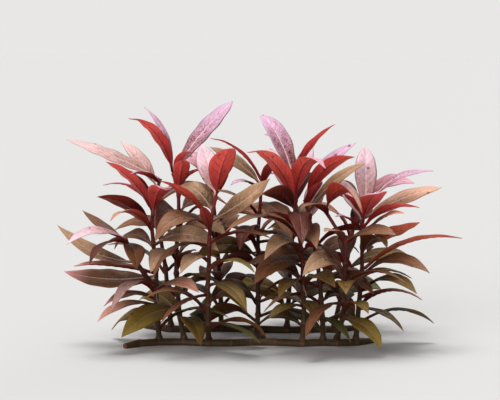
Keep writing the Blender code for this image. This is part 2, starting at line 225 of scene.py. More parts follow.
class Term:
    """The value of a socket in a formula."""

    def __init__(self, socket):
        self.socket = socket
        self.tree = socket.id_data

    def math(self, operation, *others):
        """The result of one Math node that starts from this term."""
        inputs = enumerate((self, *others))
        return value_from(self.tree, "ShaderNodeMath", inputs, operation=operation)

    def __add__(self, other):
        return self.math("ADD", other)

    def __sub__(self, other):
        return self.math("SUBTRACT", other)

    def __rsub__(self, number):
        return value_from(self.tree, "ShaderNodeMath", {0: number, 1: self}, operation="SUBTRACT")

    def __mul__(self, other):
        return self.math("MULTIPLY", other)

    def __truediv__(self, other):
        return self.math("DIVIDE", other)

    def __pow__(self, other):
        return self.math("POWER", other)

    def clamped(self):
        """The same term, kept between 0 and 1 by the Math node that it comes from."""
        self.socket.node.use_clamp = True
        return self

    def ramp(self, low, high, at_low=0.0, at_high=1.0):
        """A smooth step from at_low, where the term is low, to at_high, where it is high."""
        inputs = {0: self, 1: low, 2: high, 3: at_low, 4: at_high}
        return value_from(self.tree, "ShaderNodeMapRange", inputs, interpolation_type="SMOOTHSTEP")


print("signs that add nodes: + - * / **")

# %% Terms for vectors


class VectorTerm(Term):
    """The value of a vector's or a colour's socket in a formula."""

    def math(self, operation, *others):
        """The result of one Vector Math node that starts from this term."""
        output = "Value" if operation == "DOT_PRODUCT" else "Vector"
        inputs = enumerate((self, *others))
        return value_from(self.tree, "ShaderNodeVectorMath", inputs, output, operation=operation)

    def __mul__(self, factor):
        inputs = {0: self, "Scale": factor}
        return value_from(self.tree, "ShaderNodeVectorMath", inputs, operation="SCALE")

    def dot(self, other):
        return self.math("DOT_PRODUCT", other)

    def cross(self, other):
        return self.math("CROSS_PRODUCT", other)

    def normalized(self):
        return self.math("NORMALIZE")

    def parts(self):
        """The three parts of the vector as terms."""
        node = add_node(self.tree, "ShaderNodeSeparateXYZ", {0: self})
        return [term_of(socket) for socket in node.outputs]


def vector_from(tree, x, y, z):
    return value_from(tree, "ShaderNodeCombineXYZ", {0: x, 1: y, 2: z})


def mix_tone(amount, first, second, blend="MIX"):
    """Two tones mixed. amount is how much of the second shows."""
    tree = next(value.tree for value in (amount, first, second) if isinstance(value, Term))
    inputs = {0: amount, 6: first, 7: second}
    return value_from(tree, "ShaderNodeMix", inputs, 2, data_type="RGBA", blend_type=blend)


print("vectors can be added, scaled, crossed and taken apart")

# %% [markdown]
# A node group has named inputs and outputs of its own. The next helpers make an empty one, set the
# inputs of one that is used as a modifier, and turn a paint chart's colour into the linear one that
# Blender computes with.

# %% New node groups and colours


def new_tree(name, kind, inputs, outputs):
    """A node group, its inputs as terms by their names, and the node that collects its outputs."""
    tree = bpy.data.node_groups.new(name, kind)
    for label, socket_type, start in inputs:
        socket = tree.interface.new_socket(label, in_out="INPUT", socket_type=socket_type)
        if start is not None:
            socket.default_value = start
    for label, socket_type in outputs:
        tree.interface.new_socket(label, in_out="OUTPUT", socket_type=socket_type)
    sources = add_node(tree, "NodeGroupInput").outputs
    given = {label: term_of(sources[label]) for label, _, _ in inputs}
    return tree, given, add_node(tree, "NodeGroupOutput")


def set_inputs(modifier, values):
    """Sets the inputs of a Geometry Nodes modifier by their socket identifiers."""
    known = {item.name: item.identifier for item in modifier.node_group.interface.items_tree
             if item.item_type == "SOCKET" and item.in_out == "INPUT"}
    for name, value in values.items():
        modifier[known[name]] = value


def srgb(red, green, blue):
    """A paint chart's colour, from 0 to 255, as the linear colour that Blender computes with."""
    shares = [value / 255 for value in (red, green, blue)]
    return (*[((v + 0.055) / 1.055) ** 2.4 if v > 0.04 else v / 12.92 for v in shares], 1.0)


print("crimson as a linear colour:", [round(v, 3) for v in srgb(176, 36, 52)])

# %% [markdown]
# ## The stems' courses
#
# Eight upright stems carry the crowns that show from the front, one side shoot forks off the left
# one, and four stand behind. Each stem is given by its joints, from foot to top, in millimetres,
# and is straight between them, as the stems of this plant nearly are. The creeping base stems, or
# runners, are given in the same way. They lie on the ground and join the clump into one plant. A
# curve through the joints would sway more than the real stems do.

# %% The joints of the stems
FOOT_HEIGHT = 5.2
STEMS = {
    "stem_01": [(-66, 1, FOOT_HEIGHT), (-67, 2, 16), (-68, 2, 27), (-68, 3, 41), (-68, 3, 55),
                (-70, 2, 75), (-71, 0, 88), (-70, 0, 99), (-65, 4, 121)],
    "stem_02": [(-48, 1, FOOT_HEIGHT), (-52, 12, 22), (-53, 15, 36), (-54, 17, 50), (-54, 17, 66),
                (-53, 16, 82), (-52, 15, 95), (-52, 14, 108), (-56, 16, 124)],
    "stem_03": [(-30, -3, FOOT_HEIGHT), (-30, -18, 20), (-30, -23, 34), (-30, -25, 47),
                (-29, -25, 60), (-29, -26, 77), (-28, -26, 92), (-24, -24, 111)],
    "stem_04": [(5, 30, FOOT_HEIGHT), (6, 32, 17), (6, 33, 29), (6, 34, 41), (6, 35, 53),
                (6, 35, 65), (6, 35, 78), (7, 35, 91), (9, 34, 120)],
    "stem_05": [(38, -4, FOOT_HEIGHT), (39, -5, 17), (39, -5, 30), (38, -6, 47), (38, -6, 60),
                (37, -6, 71), (35, -6, 82), (33, -6, 101), (31, -5, 121)],
    "stem_06": [(53, -1, FOOT_HEIGHT), (53, 7, 18), (52, 11, 32), (51, 12, 46), (49, 13, 60),
                (47, 13, 72), (45, 12, 84), (40, 12, 105)],
    "stem_07": [(77, 0, FOOT_HEIGHT), (78, 1, 17), (79, 1, 30), (80, 0, 42), (81, 0, 54),
                (81, 0, 72), (81, 2, 90), (86, 4, 103)],
    "stem_08": [(63, -2, FOOT_HEIGHT), (66, -22, 24), (67, -26, 37), (67, -28, 50), (67, -28, 64),
                (67, -27, 79), (53, -22, 101)],
    "stem_09": [(-71, 1, 44), (-82, -6, 62), (-89, -14, 80)],
    "stem_10": [(-60, 53, FOOT_HEIGHT), (-62, 55, 26), (-64, 58, 48), (-68, 61, 72), (-76, 66, 96)],
    "stem_11": [(-22, 57, FOOT_HEIGHT), (-22, 59, 20), (-23, 61, 36), (-24, 63, 51), (-25, 65, 66),
                (-26, 67, 81), (-28, 70, 98), (-31, 72, 114)],
    "stem_12": [(28, 49, FOOT_HEIGHT), (29, 54, 20), (30, 59, 36), (31, 62, 51), (32, 64, 66),
                (33, 67, 82), (35, 71, 98), (37, 75, 117)],
    "stem_13": [(64, 51, FOOT_HEIGHT), (69, 53, 28), (73, 57, 50), (77, 60, 74), (85, 64, 100)],
}
RUNNERS = {
    "runner_front": [(-90, -13), (-80, -4), (-66, 1), (-48, 1), (-30, -3), (-14, -3), (0, 0),
                     (18, 0), (38, -4), (53, -1), (63, -2), (77, 0), (90, 9)],
    "runner_link": [(3, 4.6), (8, 16), (5, 30), (2, 41), (4, 49.3)],
    "runner_back": [(-80, 68), (-60, 53), (-40, 53), (-22, 57), (4, 53.5), (28, 49), (46, 52),
                    (64, 51), (82, 61)],
}
print(len(STEMS), "stems and", len(RUNNERS), "runners")

# %% The thickness of the stems
STEM_RADIUS_FOOT = 2.0
STEM_RADIUS_TOP = 1.2
GAP = 0.45
TOP_SINK = 0.1
RUNNER_RADIUS = 3.2
RUNNER_END_RADIUS = 2.0
RUNNER_CENTRE = 1.6

stem_points = {name: [Vector(place) for place in places] for name, places in STEMS.items()}
runner_points = {name: [Vector((*place, RUNNER_CENTRE)) for place in places]
                 for name, places in RUNNERS.items()}


def on_stem(points, position):
    """The place at a position counted in joints. The course is straight between its joints."""
    index = min(int(position), len(points) - 2)
    return points[index].lerp(points[index + 1], position - index)


def stem_radius(points, position):
    return STEM_RADIUS_FOOT + (STEM_RADIUS_TOP - STEM_RADIUS_FOOT) * position / (len(points) - 1)


print("the tallest stem reaches", max(points[-1].z for points in stem_points.values()), "mm")

# %% [markdown]
# ## The leaf styles
#
# Each leaf has two sides, and its colour changes from stalk to tip and with age: young crown leaves
# are crimson below and lilac above, older ones turn bronze, brown and at last olive. Some tones
# also
# hold painted light and shade: the pale upper tips of lilac, pale pink and blush are partly painted
# sheen, crimson's bright underside is partly painted glow, the scarlet style is crimson brightened
# as painted light, the maroon style is red darkened as painted shade, and the dark low styles are
# partly painted shade. A style names the four tones of such a leaf, then how strongly its upper
# side is mottled brown and how pale its midrib is. Some middle-aged leaves are brown with a pink
# tip: a last number says how far along the blade the tip's tone starts, and is left out for the
# others, where it starts at the stalk.

# %% The leaf styles
EARLY_TURN = 0.1
STYLE_FIELDS = "upper_stalk upper_tip under_stalk under_tip mottle pale_rib turn"
Style = namedtuple("Style", STYLE_FIELDS, defaults=[EARLY_TURN])
STYLES = {
    # The pale upper tips of lilac, pale pink and blush: partly their own pink, partly painted
    # sheen.
    "lilac": Style((160, 110, 112), (216, 172, 200), (104, 24, 30), (184, 62, 66), 1.5, 1.0),
    "pale pink": Style((186, 142, 138), (232, 196, 206), (118, 30, 30), (200, 80, 74), 0.6, 0.7),
    "blush": Style((176, 130, 118), (224, 188, 184), (118, 30, 30), (200, 80, 74), 0.8, 0.6),
    "dusty": Style((116, 82, 62), (184, 144, 136), (104, 32, 26), (156, 54, 46), 0.9, 0.4),
    # Crimson's bright underside: partly its own red, partly painted glow of light through the
    # blade.
    "crimson": Style((150, 82, 76), (214, 158, 174), (166, 48, 44), (240, 100, 92), 0.4, 0.4),
    # The scarlet style is crimson with brighter under tones: painted light for leaves that catch
    # more light.
    "scarlet": Style((150, 82, 76), (214, 158, 174), (196, 62, 56), (255, 124, 112), 0.4, 0.4),
    "red": Style((128, 68, 52), (196, 144, 118), (130, 42, 32), (202, 80, 64), 0.4, 0.3),
    # The maroon style is a red leaf darkened all over: painted shade for leaves deep in the clump.
    "maroon": Style((60, 26, 18), (92, 44, 31), (92, 26, 22), (142, 50, 40), 0.4, 0.1),
    "rust": Style((116, 66, 42), (168, 106, 76), (144, 62, 40), (208, 104, 74), 0.5, 0.2),
    "peach": Style((150, 110, 84), (224, 174, 146), (112, 38, 30), (168, 80, 62), 0.5, 0.4),
    "salmon": Style((118, 80, 52), (226, 158, 138), (112, 38, 30), (168, 80, 62), 0.5, 0.25, 0.35),
    "dusk": Style((100, 66, 40), (196, 130, 126), (88, 28, 24), (148, 62, 58), 0.6, 0.4, 0.68),
    # The dark tones of bronze, brown, olive and green: partly age, partly painted shade low in the
    # clump.
    "bronze": Style((86, 55, 34), (140, 99, 70), (76, 26, 20), (130, 48, 38), 0.6, 0.18),
    "tan": Style((108, 80, 50), (182, 146, 112), (92, 46, 32), (142, 80, 56), 0.8, 0.35),
    "brown": Style((70, 42, 23), (112, 71, 42), (70, 24, 17), (112, 42, 29), 0.5, 0.12),
    "gold": Style((102, 78, 30), (138, 116, 48), (92, 48, 24), (128, 82, 38), 0.5, 0.15),
    "olive": Style((72, 58, 22), (118, 94, 40), (74, 38, 19), (110, 68, 32), 0.6, 0.18),
    "green": Style((52, 52, 18), (90, 92, 38), (60, 38, 17), (88, 70, 28), 0.5, 0.2),
}
print(len(STYLES), "leaf styles")

# %% [markdown]
# ## Where each leaf grows
#
# A leaf is given by its stem, the joint that it springs from and the place of its tip. Its width,
# arch and fold shape the blade between. face turns the upper side towards the viewer, and the last
# word is the leaf's style. swing says how it makes room for its neighbours later. A named leaf has
# a solid of its own. The unnamed ones are small, and their solids are part of the stem's.

# %% Where each leaf grows
Leaf = namedtuple("Leaf", "name stem joint tip width style arch face fold taper curl swing")
LONG_TIP = 1.0
BLUNT_TIP = 0.5


def leaf(name, stem, joint, tip, width, style, arch=5, face=0, fold=14, taper=LONG_TIP, curl=0,
         swing="depth"):
    shape = (width, style, arch, face, fold, taper, curl)
    return Leaf(name, stem, joint, Vector(tip), *shape, swing)


LAID = [
    leaf("leaf_01", "stem_01", 8, (-135, 28, 148), 12, "blush", arch=2, face=35, fold=10),
    leaf("leaf_02", "stem_01", 7.8, (-96, 40, 146), 12, "blush", arch=4, face=20),
    leaf("leaf_03", "stem_01", 7, (-101, -30, 136), 12, "crimson", arch=5, face=-10),
    leaf("leaf_04", "stem_01", 6, (-107, -34, 112), 13, "bronze", arch=5, face=-35),
    leaf("leaf_05", "stem_01", 6.6, (-58, -38, 118), 17, "crimson", arch=8, taper=BLUNT_TIP),
    leaf("leaf_06", "stem_01", 5.8, (-98, -46, 98), 12, "red", arch=9, face=-10, curl=-2),
    leaf("leaf_07", "stem_09", 2, (-129, -35, 79), 12, "pale pink", arch=7, face=25),
    leaf("leaf_08", "stem_09", 1.9, (-122, 14, 97), 8, "brown", arch=-1, face=20),
    leaf("leaf_09", "stem_09", 1, (-139, 4, 88), 13, "tan", arch=-7, face=40),
    leaf("leaf_10", "stem_01", 4.1, (-127, -30, 60), 12, "salmon", arch=2, face=5, fold=25),
    leaf("leaf_11", "stem_01", 3.8, (-135, -6, 53), 17, "dusk", arch=-4, face=45),
    leaf("leaf_12", "stem_01", 2.8, (-97, -45, 33), 14, "dusty", arch=14, face=-5),
    leaf("leaf_13", "stem_01", 3, (-36, -40, 46), 14, "salmon", arch=6, face=20),
    leaf("leaf_14", "stem_01", 2.2, (-108, -34, 24), 13, "salmon", arch=6, face=10),
    leaf("leaf_15", "stem_02", 1.2, (-90, -42, 14), 18, "gold", arch=6, face=40),
    leaf("leaf_16", "stem_02", 8, (-86, -12, 168), 12, "crimson", arch=9, face=-20, curl=-3),
    leaf("leaf_17", "stem_02", 7.9, (-78, 34, 172), 8, "lilac", arch=7),
    leaf("leaf_18", "stem_02", 8, (-13, 46, 175), 17, "lilac", arch=3, face=15, taper=0.75),
    leaf("leaf_19", "stem_03", 7, (-14, -46, 147), 20, "crimson", arch=4, taper=0.6),
    leaf("leaf_20", "stem_03", 7, (-35, 12, 146), 18, "pale pink", arch=2, face=10),
    leaf("leaf_21", "stem_03", 6, (-63, -36, 124), 12, "red", arch=4, face=-20),
    leaf("leaf_22", "stem_03", 6.3, (-50, -6, 118), 17, "tan", arch=5, face=35),
    leaf("leaf_23", "stem_03", 5.9, (-66, -52, 83), 17, "bronze", arch=11, face=20),
    leaf("leaf_24", "stem_03", 5, (-68, -52, 55), 12, "brown", arch=12),
    leaf("leaf_25", "stem_05", 8, (8, 24, 167), 17, "lilac", arch=6, face=15, taper=0.75),
    leaf("leaf_26", "stem_05", 8, (60, -24, 162), 10, "crimson", arch=6, face=-15),
    # leaf_27 and leaf_28 take the scarlet style, crimson brightened as painted light.
    leaf("leaf_27", "stem_05", 7.1, (-2, -44, 148), 16, "scarlet", arch=9, face=-15, curl=-3),
    leaf("leaf_28", "stem_05", 7, (54, -42, 136), 16, "scarlet", arch=16, face=-15, curl=-3),
    leaf("leaf_29", "stem_05", 6.8, (0, -62, 110), 19, "bronze", arch=12, face=-30),
    leaf("leaf_30", "stem_05", 6, (-17, -54, 90), 14, "bronze", arch=12),
    leaf("leaf_31", "stem_05", 4.4, (10, -48, 70), 15, "tan", arch=13, face=15),
    leaf("leaf_32", "stem_06", 7, (74, -26, 140), 14, "crimson", arch=8, face=-20),
    leaf("leaf_33", "stem_06", 6.9, (78, 24, 146), 13, "lilac", arch=6, face=35),
    leaf("leaf_34", "stem_07", 6.5, (85, 28, 142), 17, "pale pink", arch=3, face=10, taper=0.7),
    leaf("leaf_35", "stem_07", 7, (133, 8, 126), 10, "lilac", arch=8, face=18),
    leaf("leaf_36", "stem_07", 6.2, (140, 16, 114), 14, "peach", arch=3, face=30),
    leaf("leaf_37", "stem_07", 6, (90, -42, 115), 21, "crimson", arch=6, taper=0.6),
    leaf("leaf_38", "stem_07", 5.9, (119, -34, 104), 11, "crimson", arch=7, face=-15),
    leaf("leaf_39", "stem_07", 5, (120, -26, 93), 16, "rust", arch=1, face=-25),
    leaf("leaf_40", "stem_07", 4.1, (151, -20, 81), 11, "rust", arch=9, face=-20),
    leaf("leaf_41", "stem_07", 4, (126, -36, 58), 13, "bronze", arch=10, face=25),
    leaf("leaf_42", "stem_07", 2, (111, -40, 45), 12, "brown", arch=5),
    leaf("leaf_43", "stem_08", 6, (77, -58, 103), 18, "red", arch=16, face=-20),
    leaf("leaf_44", "stem_08", 5, (101, -52, 87), 16, "bronze", arch=5, face=20),
    leaf("", "stem_01", 7.2, (-90, -14, 130), 9, "dusty", arch=3, fold=30),
    leaf("", "stem_01", 8, (-84, -22, 128), 7, "lilac", arch=2, fold=30),
    leaf("", "stem_01", 2.5, (-106, -6, 30), 14, "dusk", arch=6, face=10),
    # A maroon leaf: red darkened as painted shade.
    leaf("", "stem_09", 1.8, (-112, -46, 66), 17, "maroon", arch=8, face=-20),
    leaf("", "stem_09", 1.95, (-80, -52, 60), 16, "brown", arch=8),
    leaf("", "stem_02", 7.9, (-41, -8, 142), 8, "crimson", arch=6),
    leaf("", "stem_02", 7, (-47, -14, 136), 12, "crimson", arch=3, taper=BLUNT_TIP),
    leaf("", "stem_02", 7.1, (-32, -16, 128), 16, "crimson", arch=4, taper=BLUNT_TIP),
    leaf("", "stem_02", 5, (-26, 10, 104), 10, "bronze", arch=5),
    leaf("", "stem_02", 3, (-38, -22, 72), 10, "brown", arch=6),
    leaf("", "stem_02", 2.6, (-24, -6, 46), 15, "olive", arch=6),
    leaf("", "stem_03", 5.6, (-33, -42, 108), 8, "dusty", arch=3),
    leaf("", "stem_03", 6.1, (14, -40, 124), 17, "tan", arch=-2, face=45),
    leaf("", "stem_03", 5.1, (14, -46, 84), 12, "bronze", arch=6),
    leaf("", "stem_03", 4, (4, -54, 62), 11, "gold", arch=7, face=5),
    leaf("", "stem_03", 4.3, (-48, -50, 60), 15, "tan", arch=8, face=10),
    leaf("", "stem_03", 2.6, (-62, -60, 27), 10, "brown", arch=4, face=-10),
    leaf("", "stem_03", 3.1, (-2, -60, 36), 14, "olive", arch=8, face=10),
    leaf("", "stem_03", 2.2, (-1, -52, 32), 12, "green", arch=8),
    leaf("", "stem_03", 1, (8, -42, 10), 10, "green", arch=4),
    leaf("", "stem_04", 8, (-29, 12, 151), 7, "crimson", arch=6),
    leaf("", "stem_04", 7.9, (-30, 48, 141), 13, "tan", arch=3, face=25),
    leaf("", "stem_04", 7.8, (24, 0, 138), 12, "pale pink", arch=4, face=10),
    leaf("", "stem_04", 7, (-26, 6, 112), 14, "bronze", arch=5, face=20),
    leaf("", "stem_04", 7.6, (-14, -2, 118), 9, "lilac", arch=5, face=15),
    leaf("", "stem_04", 5, (-22, 22, 84), 16, "brown", arch=6),
    leaf("", "stem_04", 7.3, (30, -10, 78), 17, "bronze", arch=8, face=20),
    leaf("", "stem_04", 5.5, (36, 2, 60), 15, "brown", arch=6),
    leaf("", "stem_05", 7.7, (2, 44, 159), 14, "lilac", arch=4, taper=0.75),
    leaf("", "stem_05", 7.4, (46, 34, 144), 13, "pale pink", arch=4, face=15),
    leaf("", "stem_05", 7.2, (12, 26, 140), 13, "pale pink", arch=4, face=15),
    # These maroon leaves are painted shade: red darkened where the clump is in shade.
    leaf("", "stem_05", 6.1, (13, -36, 102), 10, "maroon", arch=3),
    leaf("", "stem_05", 6.9, (36, -62, 82), 17, "maroon", arch=10),
    leaf("", "stem_05", 6, (46, -56, 78), 15, "bronze", arch=12),
    leaf("", "stem_05", 3, (20, -40, 42), 13, "olive", arch=6),
    leaf("", "stem_05", 2, (13, -34, 26), 12, "olive", arch=4),
    leaf("", "stem_05", 2.1, (48, -40, 24), 12, "olive", arch=4),
    leaf("", "stem_06", 6.6, (82, -4, 133), 13, "tan", arch=4, face=45),
    leaf("", "stem_06", 6.5, (52, 0, 120), 9, "pale pink", arch=3),
    leaf("", "stem_06", 6, (52, 30, 118), 15, "pale pink", arch=4, face=10),
    leaf("", "stem_07", 6.5, (108, 34, 123), 15, "tan", arch=4, face=10),
    leaf("", "stem_07", 5.7, (108, -10, 101), 9, "salmon", arch=4, face=20),
    leaf("", "stem_07", 6.2, (66, -14, 112), 8, "lilac", arch=2),
    leaf("", "stem_07", 5.9, (60, -26, 98), 7, "lilac", arch=3, face=15),
    leaf("", "stem_07", 6, (62, 26, 120), 13, "pale pink", arch=4, face=10),
    leaf("", "stem_07", 2.2, (124, -18, 36), 13, "rust", arch=6),
    leaf("", "stem_07", 1.8, (110, -20, 14), 14, "olive", arch=5),
    leaf("", "stem_08", 6, (35, -54, 106), 13, "bronze", arch=6),
    leaf("", "stem_08", 5, (51, -54, 90), 12, "tan", arch=4),
    leaf("", "stem_08", 3, (109, -50, 52), 14, "bronze", arch=9),
    leaf("", "stem_08", 2.2, (66, -62, 47), 14, "olive", arch=10),
    leaf("", "stem_08", 1.2, (82, -58, 34), 14, "olive", arch=8),
    leaf("", "stem_08", 1, (92, -48, 7), 15, "gold", arch=5, face=20),
]
named = [item.name for item in LAID if item.name]
print(len(LAID), "leaves laid by hand,", len(named), "of them with a solid each")

# %% [markdown]
# ## The leaves in pairs
#
# The leaves of the stems behind, and those inside the clump, follow the plant's own rule: they
# stand in opposite pairs, and each pair is turned a quarter from the one below it. A seeded random
# number spreads them a little, the same way each time. Their style goes by height: the oldest
# leaves are low down, olive there, then brown and bronze, and crimson in the crowns, and the dark
# low styles also paint the shade that falls low in the clump. A joint that already carries two
# listed leaves gets no more. The order of the random numbers is the same as for the solids.

# %% The rules of the pairs
Pairs = namedtuple("Pairs", "headings length shorter rise steeper width arch face highest")
BEHIND = Pairs(
    headings={"stem_10": 200, "stem_11": 250, "stem_12": 290, "stem_13": 330},
    length=(46, 60), shorter=2, rise=(-12, 20), steeper=5, width=(13, 18), arch=8, face=(-15, 45),
    highest=130)
INSIDE = Pairs(
    headings={"stem_01": 235, "stem_02": 220, "stem_03": 245, "stem_04": 230, "stem_05": 225,
              "stem_06": 240, "stem_07": 215, "stem_08": 230},
    length=(46, 60), shorter=1, rise=(-26, 8), steeper=2, width=(14, 19), arch=10, face=(-30, 50),
    highest=96)
PAIR_TURN = 90
PAIR_SPREAD = 15
PAIR_FOLD = 14
PAIR_DROP = 0.1
LOWEST_TIP = 6
# Low leaves get dark styles, partly for their age and partly as painted shade, maroon among them.
STYLES_BELOW = [
    (32, ("green", "olive", "gold")),
    (52, ("olive", "brown", "bronze")),
    (74, ("bronze", "maroon", "olive", "tan", "brown")),
    (96, ("rust", "maroon", "tan", "bronze")),
    (130, ("crimson", "dusk")),
]


def free_joints(stem, highest):
    """The joints of a stem, below a height, that carry fewer than two of the listed leaves."""
    points = stem_points[stem]
    laid = [round(item.joint) for item in LAID if item.stem == stem]
    return [joint for joint in range(1, len(points))
            if points[joint].z < highest and laid.count(joint) < 2]


print("free joints on stem_01:", free_joints("stem_01", INSIDE.highest))

# %% The leaves in pairs
PAIRS_SEED = 7


def paired_leaves(pairs, rng):
    found = []
    for stem, first_heading in pairs.headings.items():
        points = stem_points[stem]
        for joint in free_joints(stem, pairs.highest):
            for half in (0, 1):
                spread = rng.uniform(-PAIR_SPREAD, PAIR_SPREAD)
                heading = math.radians(first_heading + PAIR_TURN * joint + 180 * half + spread)
                length = rng.uniform(*pairs.length) - pairs.shorter * joint
                rise = math.radians(rng.uniform(*pairs.rise) + pairs.steeper * joint)
                width = rng.uniform(*pairs.width)
                face = rng.uniform(*pairs.face)
                flat = math.cos(rise)
                reach = Vector((math.cos(heading) * flat, math.sin(heading) * flat, math.sin(rise)))
                place = joint - PAIR_DROP * (1 + half)
                tip = on_stem(points, place) + reach * length
                tip.z = max(tip.z, LOWEST_TIP)
                styles = next(styles for top, styles in STYLES_BELOW if points[joint].z < top)
                style = styles[len(found) % len(styles)]
                found.append(leaf("", stem, place, tip, width, style, arch=pairs.arch, face=face,
                                  fold=PAIR_FOLD, swing="turn"))
    return found


rng = random.Random(PAIRS_SEED)
leaves = LAID + paired_leaves(BEHIND, rng) + paired_leaves(INSIDE, rng)
print(len(leaves) - len(LAID), "leaves in pairs")

# %% [markdown]
# ## The shape of one blade
#
# A blade is a lance-shaped sheet on a curved midrib. The midrib is a curve from the stalk's base to
# the tip, pulled to one side by the arch. Across it the blade is folded up a little like a shallow
# roof turned over. These are the same formulas as those of the solids. They place the leaf, and the
# finer mesh comes later.

# %% Where a leaf starts, and how wide it is
STALK_WIDTH = 1.7
TIP_WIDTH = 0.5
STALK_END = 0.07
WIDEST_EARLY = 0.9


def base_of(item, fused):
    """Where the leaf's stalk starts: on the stem's skin, or inside the stem when it is fused."""
    points = stem_points[item.stem]
    highest = len(points) - 1 - (TOP_SINK if fused else 0)
    centre = on_stem(points, min(item.joint, highest))
    outward = Vector((item.tip.x - centre.x, item.tip.y - centre.y, 0)).normalized()
    if fused:
        return centre + outward * STEM_RADIUS_TOP / 2
    return centre + outward * (stem_radius(points, item.joint) + GAP)


def fullest(item):
    """The greatest value of the lance curve, which the width is divided by."""
    widest = WIDEST_EARLY / (WIDEST_EARLY + item.taper)
    return widest**WIDEST_EARLY * (1 - widest) ** item.taper


def half_width(item, u):
    part = max(u - STALK_END, 0) / (1 - STALK_END)
    shape = part**WIDEST_EARLY * (1 - part) ** item.taper / fullest(item)
    return max(item.width * shape, STALK_WIDTH + (TIP_WIDTH - STALK_WIDTH) * u) / 2


widest = max(half_width(LAID[0], step / 50) for step in range(51))
print("widest part of a 12 mm leaf:", round(2 * widest, 2), "mm")

# %% A point of the blade


def midrib(item, base):
    """The side direction of the leaf, and the point that its midrib is pulled to."""
    chord = item.tip - base
    side = UP.cross(chord).normalized()
    lift = chord.normalized().cross(side)
    return side, (base + item.tip) / 2 + 2 * item.arch * lift


def facing(item, base):
    """The turn of the blade about its midrib, in radians."""
    return math.radians(item.face) * (1 if item.tip.x >= base.x else -1)


def blade_point(item, base, u, v):
    """A point of the blade's middle sheet and its normal. v runs from -1 to 1 across the blade."""
    side, pull = midrib(item, base)
    place = (1 - u) ** 2 * base + 2 * u * (1 - u) * pull + u**2 * item.tip
    heading = ((1 - u) * (pull - base) + u * (item.tip - pull)).normalized()
    flat = (side - side.dot(heading) * heading).normalized()
    across = Matrix.Rotation(facing(item, base), 3, heading) @ flat
    above = heading.cross(across)
    fold = math.radians(item.fold)
    reach = half_width(item, u)
    sideways = across * (reach * v * math.cos(fold))
    upwards = above * (reach * abs(v) * math.sin(fold))
    return place + sideways + upwards, above


sample = LAID[0]
sample_base = base_of(sample, fused=False)
middle, _ = blade_point(sample, sample_base, 0.5, 0)
print("the middle of", sample.name, "is at", [round(v) for v in middle], "mm")

# %% [markdown]
# ## Plain rods for finding room
#
# Living leaves slide past each other and don't pass through one another. Each leaf is tried where
# it was laid, and then in small steps to either side, until a coarse box round its blade is clear
# of every stem and of the leaves before it. The search needs plain rods in place of the stems. They
# are the same rods as those of the solids, so each leaf finds the same room here.

# %% A plain rod


def plain_rod(centres, radii):
    """A six-sided rod as a mesh, from a curve with a bevel, its caps joined to its sides."""
    curve = bpy.data.curves.new("rod", "CURVE")
    curve.dimensions = "3D"
    curve.bevel_depth = MM
    curve.bevel_resolution = 1
    curve.use_fill_caps = True
    spline = curve.splines.new("POLY")
    spline.points.add(len(centres) - 1)
    for point, centre, radius in zip(spline.points, centres, radii):
        point.co = (*(centre * MM), 1)
        point.radius = radius
    rod = bpy.data.objects.new("rod", curve)
    scene.collection.objects.link(rod)
    graph = bpy.context.evaluated_depsgraph_get()
    mesh = bpy.data.meshes.new_from_object(rod.evaluated_get(graph))
    bpy.data.objects.remove(rod)
    shape = bmesh.new()
    shape.from_mesh(mesh)
    bmesh.ops.remove_doubles(shape, verts=shape.verts, dist=MM / 100)
    bmesh.ops.recalc_face_normals(shape, faces=shape.faces)
    shape.to_mesh(mesh)
    shape.free()
    return mesh


short_rod = plain_rod([Vector((0, 0, 0)), UP], [1, 1])
print("a rod has", len(short_rod.polygons), "faces between two joints")

# %% The rods as search trees


def search_tree(mesh):
    corners = [vertex.co / MM for vertex in mesh.vertices]
    return BVHTree.FromPolygons(corners, [list(face.vertices) for face in mesh.polygons])


def stem_search_tree(points):
    mesh = plain_rod(points, [stem_radius(points, joint) for joint in range(len(points))])
    foot = points[0]
    if foot.z < FOOT_HEIGHT + GAP:
        for vertex in mesh.vertices:
            if (vertex.co / MM - foot).length < STEM_RADIUS_FOOT + GAP:
                vertex.co.z = FOOT_HEIGHT * MM
    return search_tree(mesh)


def runner_search_tree(points):
    inner = [RUNNER_RADIUS] * (len(points) - 2)
    mesh = plain_rod(points, [RUNNER_END_RADIUS, *inner, RUNNER_END_RADIUS])
    for vertex in mesh.vertices:
        vertex.co.z = max(vertex.co.z, 0)
    return search_tree(mesh)


trees = {name: stem_search_tree(points) for name, points in stem_points.items()}
trees.update({name: runner_search_tree(points) for name, points in runner_points.items()})
print(len(trees), "search trees")

# %% [markdown]
# ## Every leaf finds its room
#
# A coarse closed box stands for the blade. Listed leaves step back and forth in depth, which
# hardly shows from the front. Leaves in pairs turn about their stem. Both may also spring from a
# place a little higher or lower on the stem. A leaf of the pairs that finds no room is left out, as
# one that has fallen.

# %% A coarse box round a blade
SHELL_HALF = 0.8
STEPS_FOR_LENGTH = ((50, 4), (0, 3))
FUSED_STEPS = 3


def steps_of(item, base):
    """How many flat steps the leaf's solid has along its length and across it."""
    if not item.name:
        return FUSED_STEPS, 1
    return next(steps for least, steps in STEPS_FOR_LENGTH if (item.tip - base).length > least), 2


